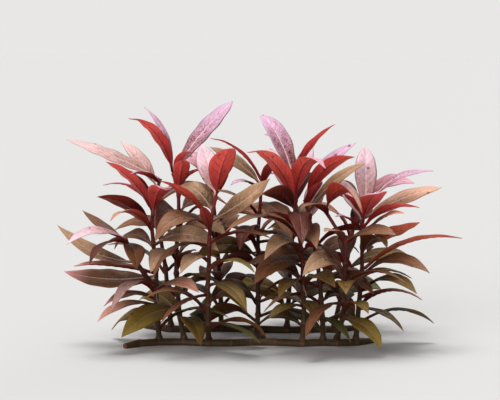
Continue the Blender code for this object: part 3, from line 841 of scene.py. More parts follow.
def shell_of(item, base, start):
    """A closed coarse box round the blade as a search tree, and the height of its lowest point."""
    rows, columns = (steps + 1 for steps in steps_of(item, base))
    upper, lower = [], []
    lowest = math.inf
    for row in range(rows):
        u = start if row == 0 else row / (rows - 1)
        for column in range(columns):
            place, above = blade_point(item, base, u, 2 * column / (columns - 1) - 1)
            upper.append(place + above * SHELL_HALF)
            lower.append(place - above * SHELL_HALF)
            lowest = min(lowest, place.z)
    count = len(upper)
    faces = []
    for row in range(rows - 1):
        for column in range(columns - 1):
            corner = row * columns + column
            quad = [corner, corner + columns, corner + columns + 1, corner + 1]
            faces += [quad, [index + count for index in quad]]
        for edge in (row * columns, row * columns + columns - 1):
            faces.append([edge, edge + columns, edge + columns + count, edge + count])
    for end in (0, count - columns):
        for corner in range(end, end + columns - 1):
            faces.append([corner, corner + 1, corner + 1 + count, corner + count])
    return BVHTree.FromPolygons(upper + lower, faces), lowest


_, lowest = shell_of(sample, sample_base, 0)
print("the lowest point of", sample.name, "is", round(lowest), "mm up")

# %% Every leaf finds its room
STALK_PART = 0.14
GROUND_ROOM = 1.2
MOST_STEPS = 12
DEPTH_STEP = 4
TURN_STEP = math.radians(6)
CLIMBS = (0, 0.12, -0.12, 0.24, -0.24)


def swings(item):
    """The leaf as laid, then moved further and further to either side."""
    root = on_stem(stem_points[item.stem], item.joint)
    for step in range(MOST_STEPS):
        for sign in (-1, 1):
            if item.swing == "depth":
                tip = item.tip + Vector((0, sign * DEPTH_STEP * step, 0))
            else:
                tip = root + Matrix.Rotation(sign * TURN_STEP * step, 3, "Z") @ (item.tip - root)
            for climb in CLIMBS:
                joint = min(item.joint + climb, len(stem_points[item.stem]) - 1)
                yield item._replace(joint=joint, tip=tip)


def settle(item, fused, placed):
    """The leaf and its base where it has room, or None."""
    others = [tree for name, tree in trees.items() if name != item.stem] + placed
    for moved in swings(item):
        base = base_of(moved, fused)
        tree, lowest = shell_of(moved, base, 0)
        if lowest < GROUND_ROOM or any(tree.overlap(other) for other in others):
            continue
        blade, _ = shell_of(moved, base, STALK_PART)
        if blade.overlap(trees[moved.stem]):
            continue
        placed.append(tree)
        return moved, base
    return None


placed = []
settled = [found for item in leaves if (found := settle(item, not item.name, placed))]
print(len(settled), "leaves have their room, of", len(leaves))

# %% [markdown]
# ## A leaf as a node tree
#
# Every leaf is one rule with different numbers, so one Geometry Nodes tree makes them all. A flat
# grid is bent into the blade: its length follows the midrib, its width the lance curve. The blade
# is folded, its margins ripple and roll, the skin between the side veins is quilted, and the midrib
# stands out below. A second grid is the underside. The two meet at the margins, so each leaf is a
# closed thin body with a thick middle.

# %% The inputs of the leaf tree
FLOAT, VECTOR, COLOUR = "NodeSocketFloat", "NodeSocketVector", "NodeSocketColor"
GEOMETRY, MATERIAL, WHOLE = "NodeSocketGeometry", "NodeSocketMaterial", "NodeSocketInt"
LEAF_INPUTS = [
    ("Rows", WHOLE, 50), ("Columns", WHOLE, 15),
    ("Base", VECTOR, None), ("Pull", VECTOR, None), ("Tip", VECTOR, None), ("Side", VECTOR, None),
    ("Facing", FLOAT, 0.0), ("Twist", FLOAT, 0.0), ("Fold", FLOAT, 0.25),
    ("Width", FLOAT, 0.012), ("Lance width", FLOAT, 0.03), ("Taper", FLOAT, 1.0),
    ("Thickness", FLOAT, 0.0005), ("Margin roll", FLOAT, 0.1),
    ("Ripple", FLOAT, 0.0006), ("Ripples", FLOAT, 4.0),
    ("Quilting", FLOAT, 0.00012), ("Vein pairs", FLOAT, 9.0),
    ("Tip curl", FLOAT, 0.0), ("Seed", FLOAT, 0.0),
    ("Upper at stalk", COLOUR, None), ("Upper at tip", COLOUR, None),
    ("Under at stalk", COLOUR, None), ("Under at tip", COLOUR, None),
    ("Mottle", FLOAT, 0.5), ("Pale rib", FLOAT, 0.5), ("Tone turn", FLOAT, 0.1),
    ("Upper skin", MATERIAL, None), ("Under skin", MATERIAL, None),
]
print(len(LEAF_INPUTS), "inputs")

# %% [markdown]
# The two grids lie on each other at first. A number on their faces says which side each is. The
# grid's own place gives u, from 0 at the stalk to 1 at the tip, and v, from -1 to 1 across. The
# columns are drawn together near the midrib, where the form is finest.

# %% Two flat sheets
COLUMN_CROWDING = 1.5
Spot = namedtuple("Spot", "u v out raw")


def keep(mesh, name, value, data_type, domain="POINT"):
    """The mesh with a value kept on it under a name."""
    inputs = {"Geometry": mesh, "Name": name, "Value": value}
    return value_from(mesh.tree, "GeometryNodeStoreNamedAttribute", inputs,
                      data_type=data_type, domain=domain)


def kept(tree, name):
    """A number that was kept on the mesh."""
    return value_from(tree, "GeometryNodeInputNamedAttribute", {"Name": name}, data_type="FLOAT")


def leaf_sheets(tree, given):
    """The two flat grids joined, the lower one turned over, their side kept on their faces."""
    joined = add_node(tree, "GeometryNodeJoinGeometry")
    size = {"Size X": 1.0, "Size Y": 2.0,
            "Vertices X": given["Rows"], "Vertices Y": given["Columns"]}
    for side in (1.0, 0.0):
        grid = value_from(tree, "GeometryNodeMeshGrid", size)
        if side == 0.0:
            grid = value_from(tree, "GeometryNodeFlipFaces", {"Mesh": grid})
        feed(joined, {0: keep(grid, "leaf_side", side, "FLOAT", "FACE")})
    return term_of(joined.outputs[0])


def spot_on_grid(tree):
    """Where on the leaf a point of the grid is: u along it, v across it, and v without its sign."""
    along, sideways, _ = value_from(tree, "GeometryNodeInputPosition").parts()
    raw = sideways.math("ABSOLUTE")
    out = raw**COLUMN_CROWDING
    return Spot((along + 0.5).clamped(), out * sideways.math("SIGN"), out, raw)


print("a spot on a leaf has", ", ".join(Spot._fields))

# %% [markdown]
# The middle line is the same curve as in blade_point, now written in nodes. So are the direction
# across the blade and the direction above it. The blade twists a little about that line on its way
# to the tip.

# %% The midrib and its directions


def between(u, start, end):
    """A vector on the way from start to end."""
    return value_from(u.tree, "ShaderNodeMix", {0: u, 4: start, 5: end}, 1, data_type="VECTOR")


def rib_lines(given, u):
    """The place on the midrib, and the directions across and above the blade there."""
    base, pull, tip, side = (given[name] for name in ("Base", "Pull", "Tip", "Side"))
    rib = between(u, between(u, base, pull), between(u, pull, tip))
    heading = between(u, pull - base, tip - pull).normalized()
    level = (side - heading * side.dot(heading)).normalized()
    turn = given["Facing"] + given["Twist"] * u
    inputs = {"Vector": level, "Axis": heading, "Angle": turn}
    across = value_from(u.tree, "ShaderNodeVectorRotate", inputs, rotation_type="AXIS_ANGLE")
    return rib, across, heading.cross(across)


def half_reach(given, u):
    """Half the width: the lance curve, never narrower than the stalk or the drawn-out tip."""
    part = ((u - STALK_END) / (1 - STALK_END)).clamped()
    lance = part**WIDEST_EARLY * (1.0 - part).clamped() ** given["Taper"]
    least = value_from(u.tree, "ShaderNodeMapRange", {0: u, 3: STALK_WIDTH * MM, 4: TIP_WIDTH * MM})
    return (lance * given["Lance width"]).math("MAXIMUM", least) * 0.5


print("midrib, directions and width are formulas of u")

# %% [markdown]
# The form over the flat blade adds up from five heights: the fold, the rolled margins, the ripples
# along them, the quilting between the side veins and the curled tip. The side veins leave the
# midrib at a slant and bend towards the tip, so the quilting counts along a bent line.

# %% The height over the flat blade
VEIN_SLANT = 0.12
VEIN_BEND = 0.10
ROLL_NARROWNESS = 4.0
RIPPLE_SLANT = 0.3
RIPPLE_NARROWNESS = 2.0
QUILT_NARROWNESS = 3.0
CURL_START = 0.7


def vein_phase(u, out):
    """Counts side veins along the blade."""
    return u - (out * VEIN_SLANT + out * out * VEIN_BEND)


def blade_height(given, spot, reach, fullness):
    u, v, out, raw = spot
    fold = reach * out * given["Fold"].math("SINE")
    roll = reach * raw**ROLL_NARROWNESS * (given["Margin roll"] * -1.0)
    waves = (u * given["Ripples"] + (given["Seed"] + v * RIPPLE_SLANT)) * math.tau
    ripple = waves.math("SINE") * (given["Ripple"] * (raw**RIPPLE_NARROWNESS * fullness))
    cells = vein_phase(u, out) * given["Vein pairs"] * math.tau
    hollow = given["Quilting"] * fullness * ((1.0 - raw**QUILT_NARROWNESS) * -1.0)
    quilt = cells.math("COSINE") * hollow
    curl = u.ramp(CURL_START, 1.0) ** 2.0 * given["Tip curl"]
    return fold + roll + (ripple + quilt) + curl


print("side veins bend forward by", VEIN_SLANT + VEIN_BEND, "of the leaf's length at the margin")

# %% [markdown]
# The leaf is thick at its round stalk and thin in the blade, and ends sharp at its margins. The
# midrib is a soft ridge below and a shallow groove above.

# %% The thickness of the leaf
STALK_THICKNESS = 0.8
WALL_RANGE = (0.04, 0.22)
END_STEEPNESS = 60.0
RIDGE_HALF_WIDTH = 0.6 * MM
RIDGE_BELOW = 1.2 * MM
GROOVE_ABOVE = -0.35 * MM
RIDGE_FADE = 1.05


def blade_skin(given, spot, reach, side):
    """How far the skin stands off the middle sheet: up on the upper side, down below."""
    u, out = spot.u, spot.out
    sign = side * 2.0 - 1.0
    wall = u.ramp(*WALL_RANGE, STALK_WIDTH * MM * STALK_THICKNESS, given["Thickness"])
    rounding = (1.0 - out * out).clamped().math("SQRT")
    ends = (u * (1.0 - u) * END_STEEPNESS).clamped()
    near = reach * out / RIDGE_HALF_WIDTH
    ridge = (near * near * -1.0).math("EXPONENT")
    heights = {0: side, 2: RIDGE_BELOW, 3: GROOVE_ABOVE}
    height = value_from(u.tree, "ShaderNodeMix", heights, data_type="FLOAT")
    body = wall * 0.5 + ridge * ((RIDGE_FADE - u) * height)
    return body * rounding * ends * sign


print("the ridge below is", round(RIDGE_BELOW / MM, 2), "mm high at the stalk")

# %% [markdown]
# The skins are painted later from what the leaf keeps on its points: the spot on the leaf, its tone
# there, its habit of mottling, and how far the spot is from the midrib and from the margin, in
# millimetres.

# %% What a leaf keeps for its skins
TURN_LENGTH = 0.75


def kept_for_skins(tree, given, sheet, spot, reach, fullness, side):
    u, v, out, _ = spot
    sheet = keep(sheet, "leaf_place", vector_from(tree, u, v, given["Seed"]), "FLOAT_VECTOR")
    turned = u.ramp(given["Tone turn"], (given["Tone turn"] + TURN_LENGTH).clamped())
    upper = mix_tone(turned, given["Upper at stalk"], given["Upper at tip"])
    under = mix_tone(turned, given["Under at stalk"], given["Under at tip"])
    sheet = keep(sheet, "leaf_tone", mix_tone(side, under, upper), "FLOAT_COLOR", "CORNER")
    habit = vector_from(tree, given["Mottle"], given["Pale rib"], given["Vein pairs"])
    sheet = keep(sheet, "leaf_habit", habit, "FLOAT_VECTOR")
    measure = vector_from(tree, reach * out / MM, reach * (1.0 - out) / MM, fullness)
    return keep(sheet, "leaf_measure", measure, "FLOAT_VECTOR")


print("kept: leaf_place, leaf_tone, leaf_habit, leaf_measure")

# %% The leaf tree
WELD_DISTANCE = 0.002 * MM


def changed(mesh, change, **inputs):
    """The mesh after one more geometry node."""
    return value_from(mesh.tree, "GeometryNode" + change, {"Geometry": mesh, **inputs})


def closed_and_smooth(mesh):
    """The mesh with its touching points welded, shaded smooth, and with no instances left in it."""
    welded = changed(mesh, "MergeByDistance", Distance=WELD_DISTANCE)
    return changed(changed(welded, "SetShadeSmooth"), "RealizeInstances")


def build_leaf_tree():
    tree, given, outcome = new_tree("leaf_blade", "GeometryNodeTree", LEAF_INPUTS,
                                    [("Mesh", GEOMETRY)])
    sheet = leaf_sheets(tree, given)
    spot = spot_on_grid(tree)
    side = kept(tree, "leaf_side")
    rib, across, above = rib_lines(given, spot.u)
    reach = half_reach(given, spot.u)
    fullness = (reach / (given["Width"] * 0.5)).clamped()
    height = blade_height(given, spot, reach, fullness) + blade_skin(given, spot, reach, side)
    sideways = reach * spot.v * given["Fold"].math("COSINE")
    place = rib + (across * sideways + above * height)
    sheet = kept_for_skins(tree, given, sheet, spot, reach, fullness, side)
    blade = closed_and_smooth(changed(sheet, "SetPosition", Position=place))
    blade = changed(blade, "SetMaterial", Material=given["Upper skin"])
    below = side.math("LESS_THAN", 0.5)
    blade = changed(blade, "SetMaterial", Selection=below, Material=given["Under skin"])
    feed(outcome, {0: blade})
    return tree


leaf_tree = build_leaf_tree()
print("leaf tree of", len(leaf_tree.nodes), "nodes")

# %% [markdown]
# ## Shader groups for living skin
#
# Three effects are shared by the skins. The first draws the midrib and the side veins from the
# leaf's own place, so they follow the blade however it bends.

# %% The vein group
VEIN_WOBBLE = 0.03
WOBBLE_SCALE = 9.0
RIB_FADE = 1.2
VEINS_OUTWARDS = (1.0, 0.55)
VEINS_IN_NARROW_PARTS = (0.15, 0.5)
MARGIN_EDGE = (0.9, 0.15)


def noise(tree, place, scale, detail, **more):
    inputs = {"Vector": place, "Scale": scale, "Detail": detail, **more}
    return value_from(tree, "ShaderNodeTexNoise", inputs)


def build_vein_group():
    tree, given, outcome = new_tree(
        "leaf_veins", "ShaderNodeTree",
        [("Place", VECTOR, None), ("Measure", VECTOR, None), ("Vein pairs", FLOAT, 9.0),
         ("Rib width", FLOAT, 0.45), ("Vein sharpness", FLOAT, 0.16)],
        [("Midrib", FLOAT), ("Veins", FLOAT), ("Margin", FLOAT)])
    u, v, _ = given["Place"].parts()
    from_rib, from_margin, fullness = given["Measure"].parts()
    out = v.math("ABSOLUTE")
    rib_half = given["Rib width"] * (RIB_FADE - u)
    off_rib = (from_rib / rib_half).math("SMOOTH_MIN", 1.0, 0.3)
    wobble = noise(tree, given["Place"], WOBBLE_SCALE, 2.0) - 0.5
    phase = vein_phase(u, out) + wobble * VEIN_WOBBLE
    between_veins = (phase * given["Vein pairs"] + 0.5).math("PINGPONG", 0.5)
    line = between_veins.ramp(0.5, 0.5 - given["Vein sharpness"], 1.0, 0.0)
    fading = out.ramp(*VEINS_OUTWARDS) * fullness.ramp(*VEINS_IN_NARROW_PARTS)
    feed(outcome, {"Midrib": (1.0 - off_rib).clamped(), "Veins": line * fading,
                   "Margin": from_margin.ramp(*MARGIN_EDGE)})
    return tree


vein_group = build_vein_group()
print("vein group of", len(vein_group.nodes), "nodes")

# %% [markdown]
# The second is the brown mottling of the upper side: fine grain and wavy streaks that run across
# the blade between the veins. It fades towards the tip and the margins, in uneven patches.

# %% The mottle group
STREAK_SCALE = 3.4
PATCH_SCALE = (4.0, 1.3)
PATCH_REACH = 1.4
MOTTLE_FADE = (1.0, 0.2)
BARE_MARGIN = 2.4
STREAK_SHARE = 0.45
MOTTLE_EDGE = (0.42, 0.60)


def build_mottle_group():
    tree, given, outcome = new_tree(
        "brown_mottle", "ShaderNodeTree",
        [("Place", VECTOR, None), ("Measure", VECTOR, None), ("Amount", FLOAT, 0.5),
         ("Vein pairs", FLOAT, 9.0), ("Grain", FLOAT, 0.5)],
        [("Mottle", FLOAT), ("Wrinkles", FLOAT)])
    u, v, seed = given["Place"].parts()
    _, from_margin, _ = given["Measure"].parts()
    phase = vein_phase(u, v.math("ABSOLUTE")) * given["Vein pairs"]
    streak_place = vector_from(tree, phase * STREAK_SCALE, v * STREAK_SCALE, seed)
    streaks = noise(tree, streak_place, 1.0, 4.0, Roughness=0.7, Distortion=0.5)
    patch_place = vector_from(tree, u * PATCH_SCALE[0], v * PATCH_SCALE[1], seed)
    patches = noise(tree, patch_place, 1.0, 3.0)
    reach = u.ramp(*MOTTLE_FADE) + (patches - 0.5) * PATCH_REACH
    strength = (reach * from_margin.ramp(0.0, BARE_MARGIN) * given["Amount"]).clamped()
    rough = streaks * STREAK_SHARE + given["Grain"] * (1 - STREAK_SHARE)
    mottle = (rough.ramp(*MOTTLE_EDGE) * strength).clamped()
    feed(outcome, {"Mottle": mottle, "Wrinkles": streaks})
    return tree


mottle_group = build_mottle_group()
print("mottle group of", len(mottle_group.nodes), "nodes")

# %% [markdown]
# The third is a slow and a fine variation of tone that no living surface is without, with a few
# brown specks, as old leaves have.

# %% The variation group
SPECK_SCALE = 105.0
SPECK_EDGE = (0.16, 0.1)


def build_variation_group():
    tree, given, outcome = new_tree(
        "living_variation", "ShaderNodeTree",
        [("Coordinates", VECTOR, None), ("Patch scale", FLOAT, 90.0), ("Fine scale", FLOAT, 800.0)],
        [("Patches", FLOAT), ("Fine", FLOAT), ("Specks", FLOAT)])
    where = given["Coordinates"]
    cells = {"Vector": where, "Scale": SPECK_SCALE}
    specks = value_from(tree, "ShaderNodeTexVoronoi", cells, "Distance")
    feed(outcome, {"Patches": noise(tree, where, given["Patch scale"], 3.0),
                   "Fine": noise(tree, where, given["Fine scale"], 2.0),
                   "Specks": specks.ramp(*SPECK_EDGE)})
    return tree


variation_group = build_variation_group()
print("variation group of", len(variation_group.nodes), "nodes")

# %% [markdown]
# ## The skins
#
# The upper side is matt and pale with a light midrib, and brown pigment shows through it in
# streaks. The underside is smooth and deep red, with a dark midrib and faint dark side veins. Both
# read the tones that the leaf tree keeps on every leaf, so two materials serve all the leaves. A
# little light passes through the thin blade. The skins are soft and full of sap, and gleam less
# than lacquer would. Their index of refraction is therefore low, which also keeps dark leaves from
# turning grey where they are seen edge-on.

# %% Layers of a skin
SKIN_INDEX = 1.27
PATCH_RANGE = (0.2, 0.8)


def place_group(tree, group, inputs):
    """The outputs of a group placed in a material, as terms by their names."""
    node = add_node(tree, "ShaderNodeGroup", node_tree=group)
    feed(node, inputs)
    return {socket.name: term_of(socket) for socket in node.outputs}


def new_skin(name):
    """A new material, its tree and shader, the piece's own coordinates, and the variation there."""
    skin = bpy.data.materials.new(name)
    skin.use_nodes = True
    tree = skin.node_tree
    coordinates = value_from(tree, "ShaderNodeTexCoord", output="Object")
    variation = place_group(tree, variation_group, {"Coordinates": coordinates})
    return skin, tree, tree.nodes["Principled BSDF"], coordinates, variation


def brighten(tone, amount, by):
    """The tone made lighter where amount is over a half and darker where it is under."""
    inputs = {0: tone, "Scale": (amount - 0.5) * by + 1.0}
    return value_from(amount.tree, "ShaderNodeVectorMath", inputs, operation="SCALE")


def painted(tone, layers):
    """The tone under thin layers. Each layer is a mask, how strongly it shows, and its own tone."""
    for mask, strength, tint in layers:
        tone = mix_tone(mask * strength, tone, tint)
    return tone


def relief(layers):
    """A normal with fine relief. Each layer is a mask and how high it stands, in millimetres."""
    normal = {}
    for mask, height in layers:
        inputs = {"Height": mask, "Distance": height * MM, **normal}
        normal = {"Normal": value_from(mask.tree, "ShaderNodeBump", inputs)}
    return normal["Normal"]


print("a skin is a tone, painted layers and relief")

# %% The upper skin of a leaf
UPPER_ROUGHNESS = (0.32, 0.48)


def leaf_marks(tree):
    """What a leaf keeps for its skins: tone, mottling, pale rib, and the inputs of the groups."""
    def read(name, output):
        return value_from(tree, "ShaderNodeAttribute", output=output, attribute_name=name)

    mottle, pale_rib, vein_pairs = read("leaf_habit", "Vector").parts()
    marks = {"Place": read("leaf_place", "Vector"), "Measure": read("leaf_measure", "Vector"),
             "Vein pairs": vein_pairs}
    return read("leaf_tone", "Color"), mottle, pale_rib, marks


def build_upper_skin():
    skin, tree, shader, _, variation = new_skin("leaf_upper_skin")
    tone, amount, pale_rib, marks = leaf_marks(tree)
    veins = place_group(tree, vein_group, {**marks, "Rib width": 0.8})
    mottle = place_group(tree, mottle_group,
                         {**marks, "Amount": amount, "Grain": variation["Fine"]})
    tone = brighten(brighten(tone, variation["Patches"], 0.7), variation["Fine"], 0.35)
    pigment = mix_tone(1.0, tone, srgb(150, 102, 90), blend="MULTIPLY")
    tone = painted(tone, [(mottle["Mottle"], 1.0, pigment),
                          (veins["Veins"], 0.22, srgb(120, 66, 66)),
                          (veins["Midrib"], pale_rib, srgb(240, 206, 206)),
                          (veins["Margin"], 0.15, srgb(170, 90, 96)),
                          (variation["Specks"], 0.7, srgb(84, 50, 34))])
    normal = relief([(mottle["Wrinkles"], 0.22), (variation["Fine"], 0.08), (veins["Veins"], -0.1)])
    roughness = variation["Patches"].ramp(*PATCH_RANGE, *UPPER_ROUGHNESS)
    feed(shader, {"Base Color": tone, "Roughness": roughness, "Normal": normal, "IOR": SKIN_INDEX,
                  "Subsurface Weight": 0.15, "Subsurface Radius": (1.0, 0.35, 0.25),
                  "Subsurface Scale": 1.2 * MM})
    return skin


upper_skin = build_upper_skin()
print("upper skin of", len(upper_skin.node_tree.nodes), "nodes")

# %% The under skin of a leaf
UNDER_ROUGHNESS = (0.34, 0.48)


def build_under_skin():
    skin, tree, shader, _, variation = new_skin("leaf_under_skin")
    tone, _, _, marks = leaf_marks(tree)
    veins = place_group(tree, vein_group, {**marks, "Rib width": 1.0, "Vein sharpness": 0.1})
    tone = brighten(brighten(tone, variation["Patches"], 0.9), variation["Fine"], 0.3)
    shade = mix_tone(1.0, tone, srgb(150, 90, 90), blend="MULTIPLY")
    tone = painted(tone, [(veins["Veins"], 0.6, shade),
                          (veins["Midrib"], 0.9, srgb(84, 20, 22)),
                          (veins["Margin"], 0.3, srgb(120, 34, 40)),
                          (variation["Specks"], 0.45, srgb(70, 18, 16))])
    normal = relief([(variation["Fine"], 0.1), (veins["Veins"], 0.14)])
    roughness = variation["Patches"].ramp(*PATCH_RANGE, *UNDER_ROUGHNESS)
    feed(shader, {"Base Color": tone, "Roughness": roughness, "Normal": normal, "IOR": SKIN_INDEX,
                  "Subsurface Weight": 0.2, "Subsurface Radius": (1.0, 0.35, 0.3),
                  "Subsurface Scale": 1.4 * MM})
    return skin


under_skin = build_under_skin()
print("under skin of", len(under_skin.node_tree.nodes), "nodes")

# %% [markdown]
# ## Growing the leaves
#
# Each leaf is a bare mesh object with the leaf tree on it as a modifier. Its numbers go in by the
# sockets' identifiers, the result becomes a plain mesh, and the tree is taken off. The number of
# side veins follows the length, and a seeded random number gives every leaf its own ripple and
# twist.

# %% The numbers of one leaf
STALK_SINK = 1.4
ROW_LENGTH = 1.15
FEWEST_ROWS = 24
VEIN_SPACING = 5.6
QUILT_HEIGHT = 0.13
FULL_RIPPLE_WIDTH = 14
CHANCES = {"ripple": (0.15, 0.6), "twist": (-12, 12), "roll": (0.0, 0.22), "wave": (14, 22),
           "curl": (-1.2, 0.4), "seed": (0, 20)}


def leaf_numbers(number, item, base):
    """The inputs of the leaf tree for one settled leaf."""
    rng = random.Random(number)
    drawn = {name: rng.uniform(*limits) for name, limits in CHANCES.items()}
    style = STYLES[item.style]
    centre = on_stem(stem_points[item.stem], item.joint)
    inward = Vector((centre.x - base.x, centre.y - base.y, 0))
    start = base + inward.normalized() * min(STALK_SINK, inward.length)
    side, pull = midrib(item, base)
    length = (item.tip - base).length
    ripple = drawn["ripple"] * min(1, item.width / FULL_RIPPLE_WIDTH)
    return {
        "Rows": max(FEWEST_ROWS, round(length / ROW_LENGTH)),
        "Base": start * MM, "Pull": pull * MM, "Tip": item.tip * MM, "Side": side,
        "Facing": facing(item, base), "Twist": math.radians(drawn["twist"]),
        "Fold": math.radians(item.fold), "Width": item.width * MM,
        "Lance width": item.width * MM / fullest(item), "Taper": item.taper,
        "Margin roll": drawn["roll"], "Ripple": ripple * MM, "Ripples": length / drawn["wave"],
        "Quilting": QUILT_HEIGHT * MM, "Vein pairs": length / VEIN_SPACING,
        "Tip curl": (item.curl + drawn["curl"]) * MM, "Seed": drawn["seed"],
        "Upper at stalk": srgb(*style.upper_stalk), "Upper at tip": srgb(*style.upper_tip),
        "Under at stalk": srgb(*style.under_stalk), "Under at tip": srgb(*style.under_tip),
        "Mottle": style.mottle, "Pale rib": style.pale_rib, "Tone turn": style.turn,
        "Upper skin": upper_skin, "Under skin": under_skin,
    }


print(settled[0][0].name, "has", leaf_numbers(0, *settled[0])["Rows"], "rows")

# %% Growing the leaves


def grown(name, tree, numbers, start_mesh=None):
    """A plain mesh object from a node tree with these inputs."""
    seed = bpy.data.objects.new(name, start_mesh or bpy.data.meshes.new(name))
    scene.collection.objects.link(seed)
    modifier = seed.modifiers.new(tree.name, "NODES")
    modifier.node_group = tree
    set_inputs(modifier, numbers)
    graph = bpy.context.evaluated_depsgraph_get()
    mesh = bpy.data.meshes.new_from_object(seed.evaluated_get(graph))
    seed.modifiers.clear()
    mesh.name = name
    seed.data = mesh
    return seed


def joined(name, objects):
    """Several mesh objects as one."""
    with bpy.context.temp_override(active_object=objects[0], selected_editable_objects=objects):
        bpy.ops.object.join()
    objects[0].name = objects[0].data.name = name
    return objects[0]


small_leaves = {}
for number, (item, base) in enumerate(settled):
    name = item.name + "_blade" if item.name else "small_leaf"
    blade = grown(name, leaf_tree, leaf_numbers(number, item, base))
    if item.name:
        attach(blade, "root")
        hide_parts(item.name)
    else:
        small_leaves.setdefault(item.stem, []).append(blade)
for stem, blades in small_leaves.items():
    foliage = joined(stem + "_small_leaves", blades)
    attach(foliage, "root")
    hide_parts(stem)
print(sum(len(o.data.polygons) for o in scene.objects if o.type == "MESH"), "faces so far")

# %% [markdown]
# ## The stems as a node tree
#
# A stem follows a path, so it is a circle drawn along a curve. Its radius swells at each joint,
# where a pair of leaves springs from it. A little noise keeps it from looking turned on a lathe.
# The runners are the same, only thicker, and everything of theirs below the ground is cut off flat.

# %% The stem tree
STEM_INPUTS = [("Path", GEOMETRY, None), ("Sides", WHOLE, 20), ("Joint swelling", FLOAT, 0.4),
               ("Joint length", FLOAT, 0.09), ("Unevenness", FLOAT, 0.00018),
               ("Skin", MATERIAL, None)]
UNEVEN_SCALE = 260.0


def build_stem_tree():
    tree, given, outcome = new_tree("stem_rod", "GeometryNodeTree", STEM_INPUTS,
                                    [("Mesh", GEOMETRY)])
    radius, joint = kept(tree, "rod_radius"), kept(tree, "joint_place")
    from_joint = (joint - joint.math("ROUND")) / given["Joint length"]
    swell = (from_joint * from_joint * -1.0).math("EXPONENT")
    full = radius * (swell * given["Joint swelling"] + 1.0)
    curve = value_from(tree, "GeometryNodeMeshToCurve", {"Mesh": given["Path"]})
    circle = {"Resolution": given["Sides"], "Radius": 1.0}
    ring = value_from(tree, "GeometryNodeCurvePrimitiveCircle", circle)
    drawn = {"Curve": curve, "Profile Curve": ring, "Scale": full, "Fill Caps": True}
    rod = value_from(tree, "GeometryNodeCurveToMesh", drawn)
    bumps = value_from(tree, "ShaderNodeTexNoise", {"Scale": UNEVEN_SCALE, "Detail": 2.0}) - 0.5
    outward = value_from(tree, "GeometryNodeInputNormal")
    rod = changed(rod, "SetPosition", Offset=outward * (bumps * (given["Unevenness"] * 2.0)))
    rod = changed(closed_and_smooth(rod), "SetMaterial", Material=given["Skin"])
    feed(outcome, {0: rod})
    return tree


stem_tree = build_stem_tree()
print("stem tree of", len(stem_tree.nodes), "nodes")

# %% [markdown]
# ## The stem skin
#
# The stems are soft and smooth, dark red-brown, and greener and paler towards the ground where they
# are old. Fine streaks run along them and a paler ring marks each joint.

# %% The stem skin
OLD_HEIGHTS = (0.01, 0.075)
YOUNG_HEIGHTS = (0.07, 0.12)
STREAK_STRETCH = (1.0, 1.0, 0.08)
STREAK_FINENESS = 1500.0
RING_EDGE = (0.07, 0.02)
STEM_ROUGHNESS = (0.38, 0.58)


def build_stem_skin():
    skin, tree, shader, coordinates, variation = new_skin("stem_skin")
    height = coordinates.parts()[2]
    stretched = value_from(tree, "ShaderNodeMapping", {0: coordinates, "Scale": STREAK_STRETCH})
    streaks = noise(tree, stretched, STREAK_FINENESS, 3.0)
    tone = mix_tone(height.ramp(*OLD_HEIGHTS), srgb(74, 56, 36), srgb(84, 32, 28))
    tone = mix_tone(height.ramp(*YOUNG_HEIGHTS), tone, srgb(128, 44, 44))
    tone = brighten(brighten(tone, streaks, 1.3), variation["Patches"], 0.8)
    joint = value_from(tree, "ShaderNodeAttribute", output="Fac", attribute_name="joint_place")
    ring = (joint - joint.math("ROUND")).math("ABSOLUTE").ramp(*RING_EDGE)
    tone = painted(tone, [(ring, 0.3, srgb(140, 84, 70))])
    feed(shader, {"Base Color": tone, "Roughness": streaks.ramp(*PATCH_RANGE, *STEM_ROUGHNESS),
                  "Normal": relief([(streaks, 0.25), (variation["Fine"], 0.06)]),
                  "IOR": SKIN_INDEX})
    return skin


stem_skin = build_stem_skin()
print("stem skin of", len(stem_skin.node_tree.nodes), "nodes")

# %% [markdown]
# ## Growing the stems
#
# A path is a string of points joined by edges. Two numbers ride on each point: how thick the stem
# is there, and how far along the joints it is. An upright stem reaches a little way into the runner
# that it stands on, and the side shoot reaches into the stem that it forks off, so that no gap
# shows.

# %% The paths of the stems
STEPS_PER_JOINT = 14
FOOT_SINK = 2.2
FOOT_JOINT = 0.3
RUNNER_END_SHARE = 0.62
RUNNER_END_GROWTH = 0.5


def path_mesh(places, radii, joints):
    mesh = bpy.data.meshes.new("path")
    edges = [(index, index + 1) for index in range(len(places) - 1)]
    mesh.from_pydata([place * MM for place in places], edges, [])
    numbers = {"rod_radius": [radius * MM for radius in radii], "joint_place": joints}
    for name, values in numbers.items():
        mesh.attributes.new(name, "FLOAT", "POINT").data.foreach_set("value", values)
    return mesh


def fine_joints(points):
    """Positions along a stem or runner, counted in joints, in small even steps."""
    return [step / STEPS_PER_JOINT for step in range(STEPS_PER_JOINT * (len(points) - 1) + 1)]


def stem_path(points):
    joints = fine_joints(points)
    places = [on_stem(points, joint) for joint in joints]
    radii = [stem_radius(points, joint) for joint in joints]
    sink = (places[0] - places[1]).normalized() * FOOT_SINK
    return path_mesh([places[0] + sink, *places], [radii[0], *radii], [FOOT_JOINT, *joints])


def runner_path(points):
    joints = fine_joints(points)
    last = joints[-1]
    radii = [RUNNER_RADIUS * min(1, RUNNER_END_SHARE + RUNNER_END_GROWTH * min(joint, last - joint))
             for joint in joints]
    return path_mesh([on_stem(points, joint) for joint in joints], radii, joints)


print("stem_01's path has", len(fine_joints(stem_points["stem_01"])), "places")

# %% Growing the stems
RUNNER_SWELLING = 0.08

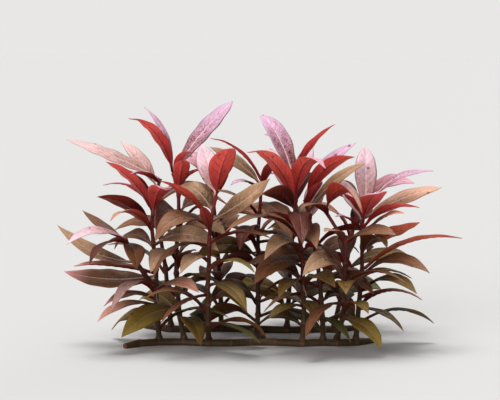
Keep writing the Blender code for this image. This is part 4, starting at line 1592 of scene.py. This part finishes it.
for name, points in stem_points.items():
    shoot = grown(name + "_skin", stem_tree, {"Skin": stem_skin}, stem_path(points))
    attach(shoot, "root")
    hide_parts(name)
for name, points in runner_points.items():
    numbers = {"Skin": stem_skin, "Joint swelling": RUNNER_SWELLING}
    creeper = grown(name + "_skin", stem_tree, numbers, runner_path(points))
    for vertex in creeper.data.vertices:
        vertex.co.z = max(vertex.co.z, 0)
    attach(creeper, "root")
    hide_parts(name)
print(len(stem_points), "stems and", len(runner_points), "runners grown")

# %% [markdown]
# ## Aerial roots
#
# Thin pale roots hang from a few low joints. Each is a thread between two points, with a wave in
# it, so the same tree draws them with a thin radius.

# %% The paths of the roots
ROOTS = [((-53, 15, 42), (-49, 4, 27)), ((-54, 16, 46), (-33, 0, 21)),
         ((38, -7, 47), (43, -17, 35)), ((38, -7, 46), (41, -13, 38)),
         ((-68, 2, 41), (-66, -6, 25))]
ROOTS_SEED = 3
ROOT_STEPS = 24
ROOT_RADIUS = 0.16
ROOT_WAVE = 1.3
ROOT_WAVES = 1.4
ROOT_SAG = Vector((0, 0, -2))
ROOT_START_SHARE = 1.1
ROOT_THINNING = 0.7


def root_path(start, end, rng):
    start, end = Vector(start), Vector(end)
    wave = Vector((rng.uniform(-1, 1), rng.uniform(-1, 1), 0)) * ROOT_WAVE
    places, radii = [], []
    for step in range(ROOT_STEPS + 1):
        part = step / ROOT_STEPS
        waving = wave * math.sin(math.tau * part * ROOT_WAVES) * part
        places.append(start.lerp(end, part) + waving + ROOT_SAG * math.sin(math.pi * part))
        radii.append(ROOT_RADIUS * (ROOT_START_SHARE - ROOT_THINNING * part))
    return path_mesh(places, radii, [0.5] * len(places))


print(len(ROOTS), "roots of", ROOT_STEPS, "steps")

# %% Growing the roots
root_skin, _, root_shader, _, root_variation = new_skin("root_skin")
feed(root_shader, {"Base Color": brighten(srgb(214, 168, 160)[:3], root_variation["Patches"], 0.6),
                   "Normal": relief([(root_variation["Fine"], 0.05)]), "Roughness": 0.5})
root_rng = random.Random(ROOTS_SEED)
root_numbers = {"Skin": root_skin, "Sides": 6, "Unevenness": 0.0}
threads = [grown("thread", stem_tree, root_numbers, root_path(*ends, root_rng)) for ends in ROOTS]
roots = joined("aerial_roots", threads)
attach(roots, "root")
print(len(roots.data.polygons), "faces on the roots")
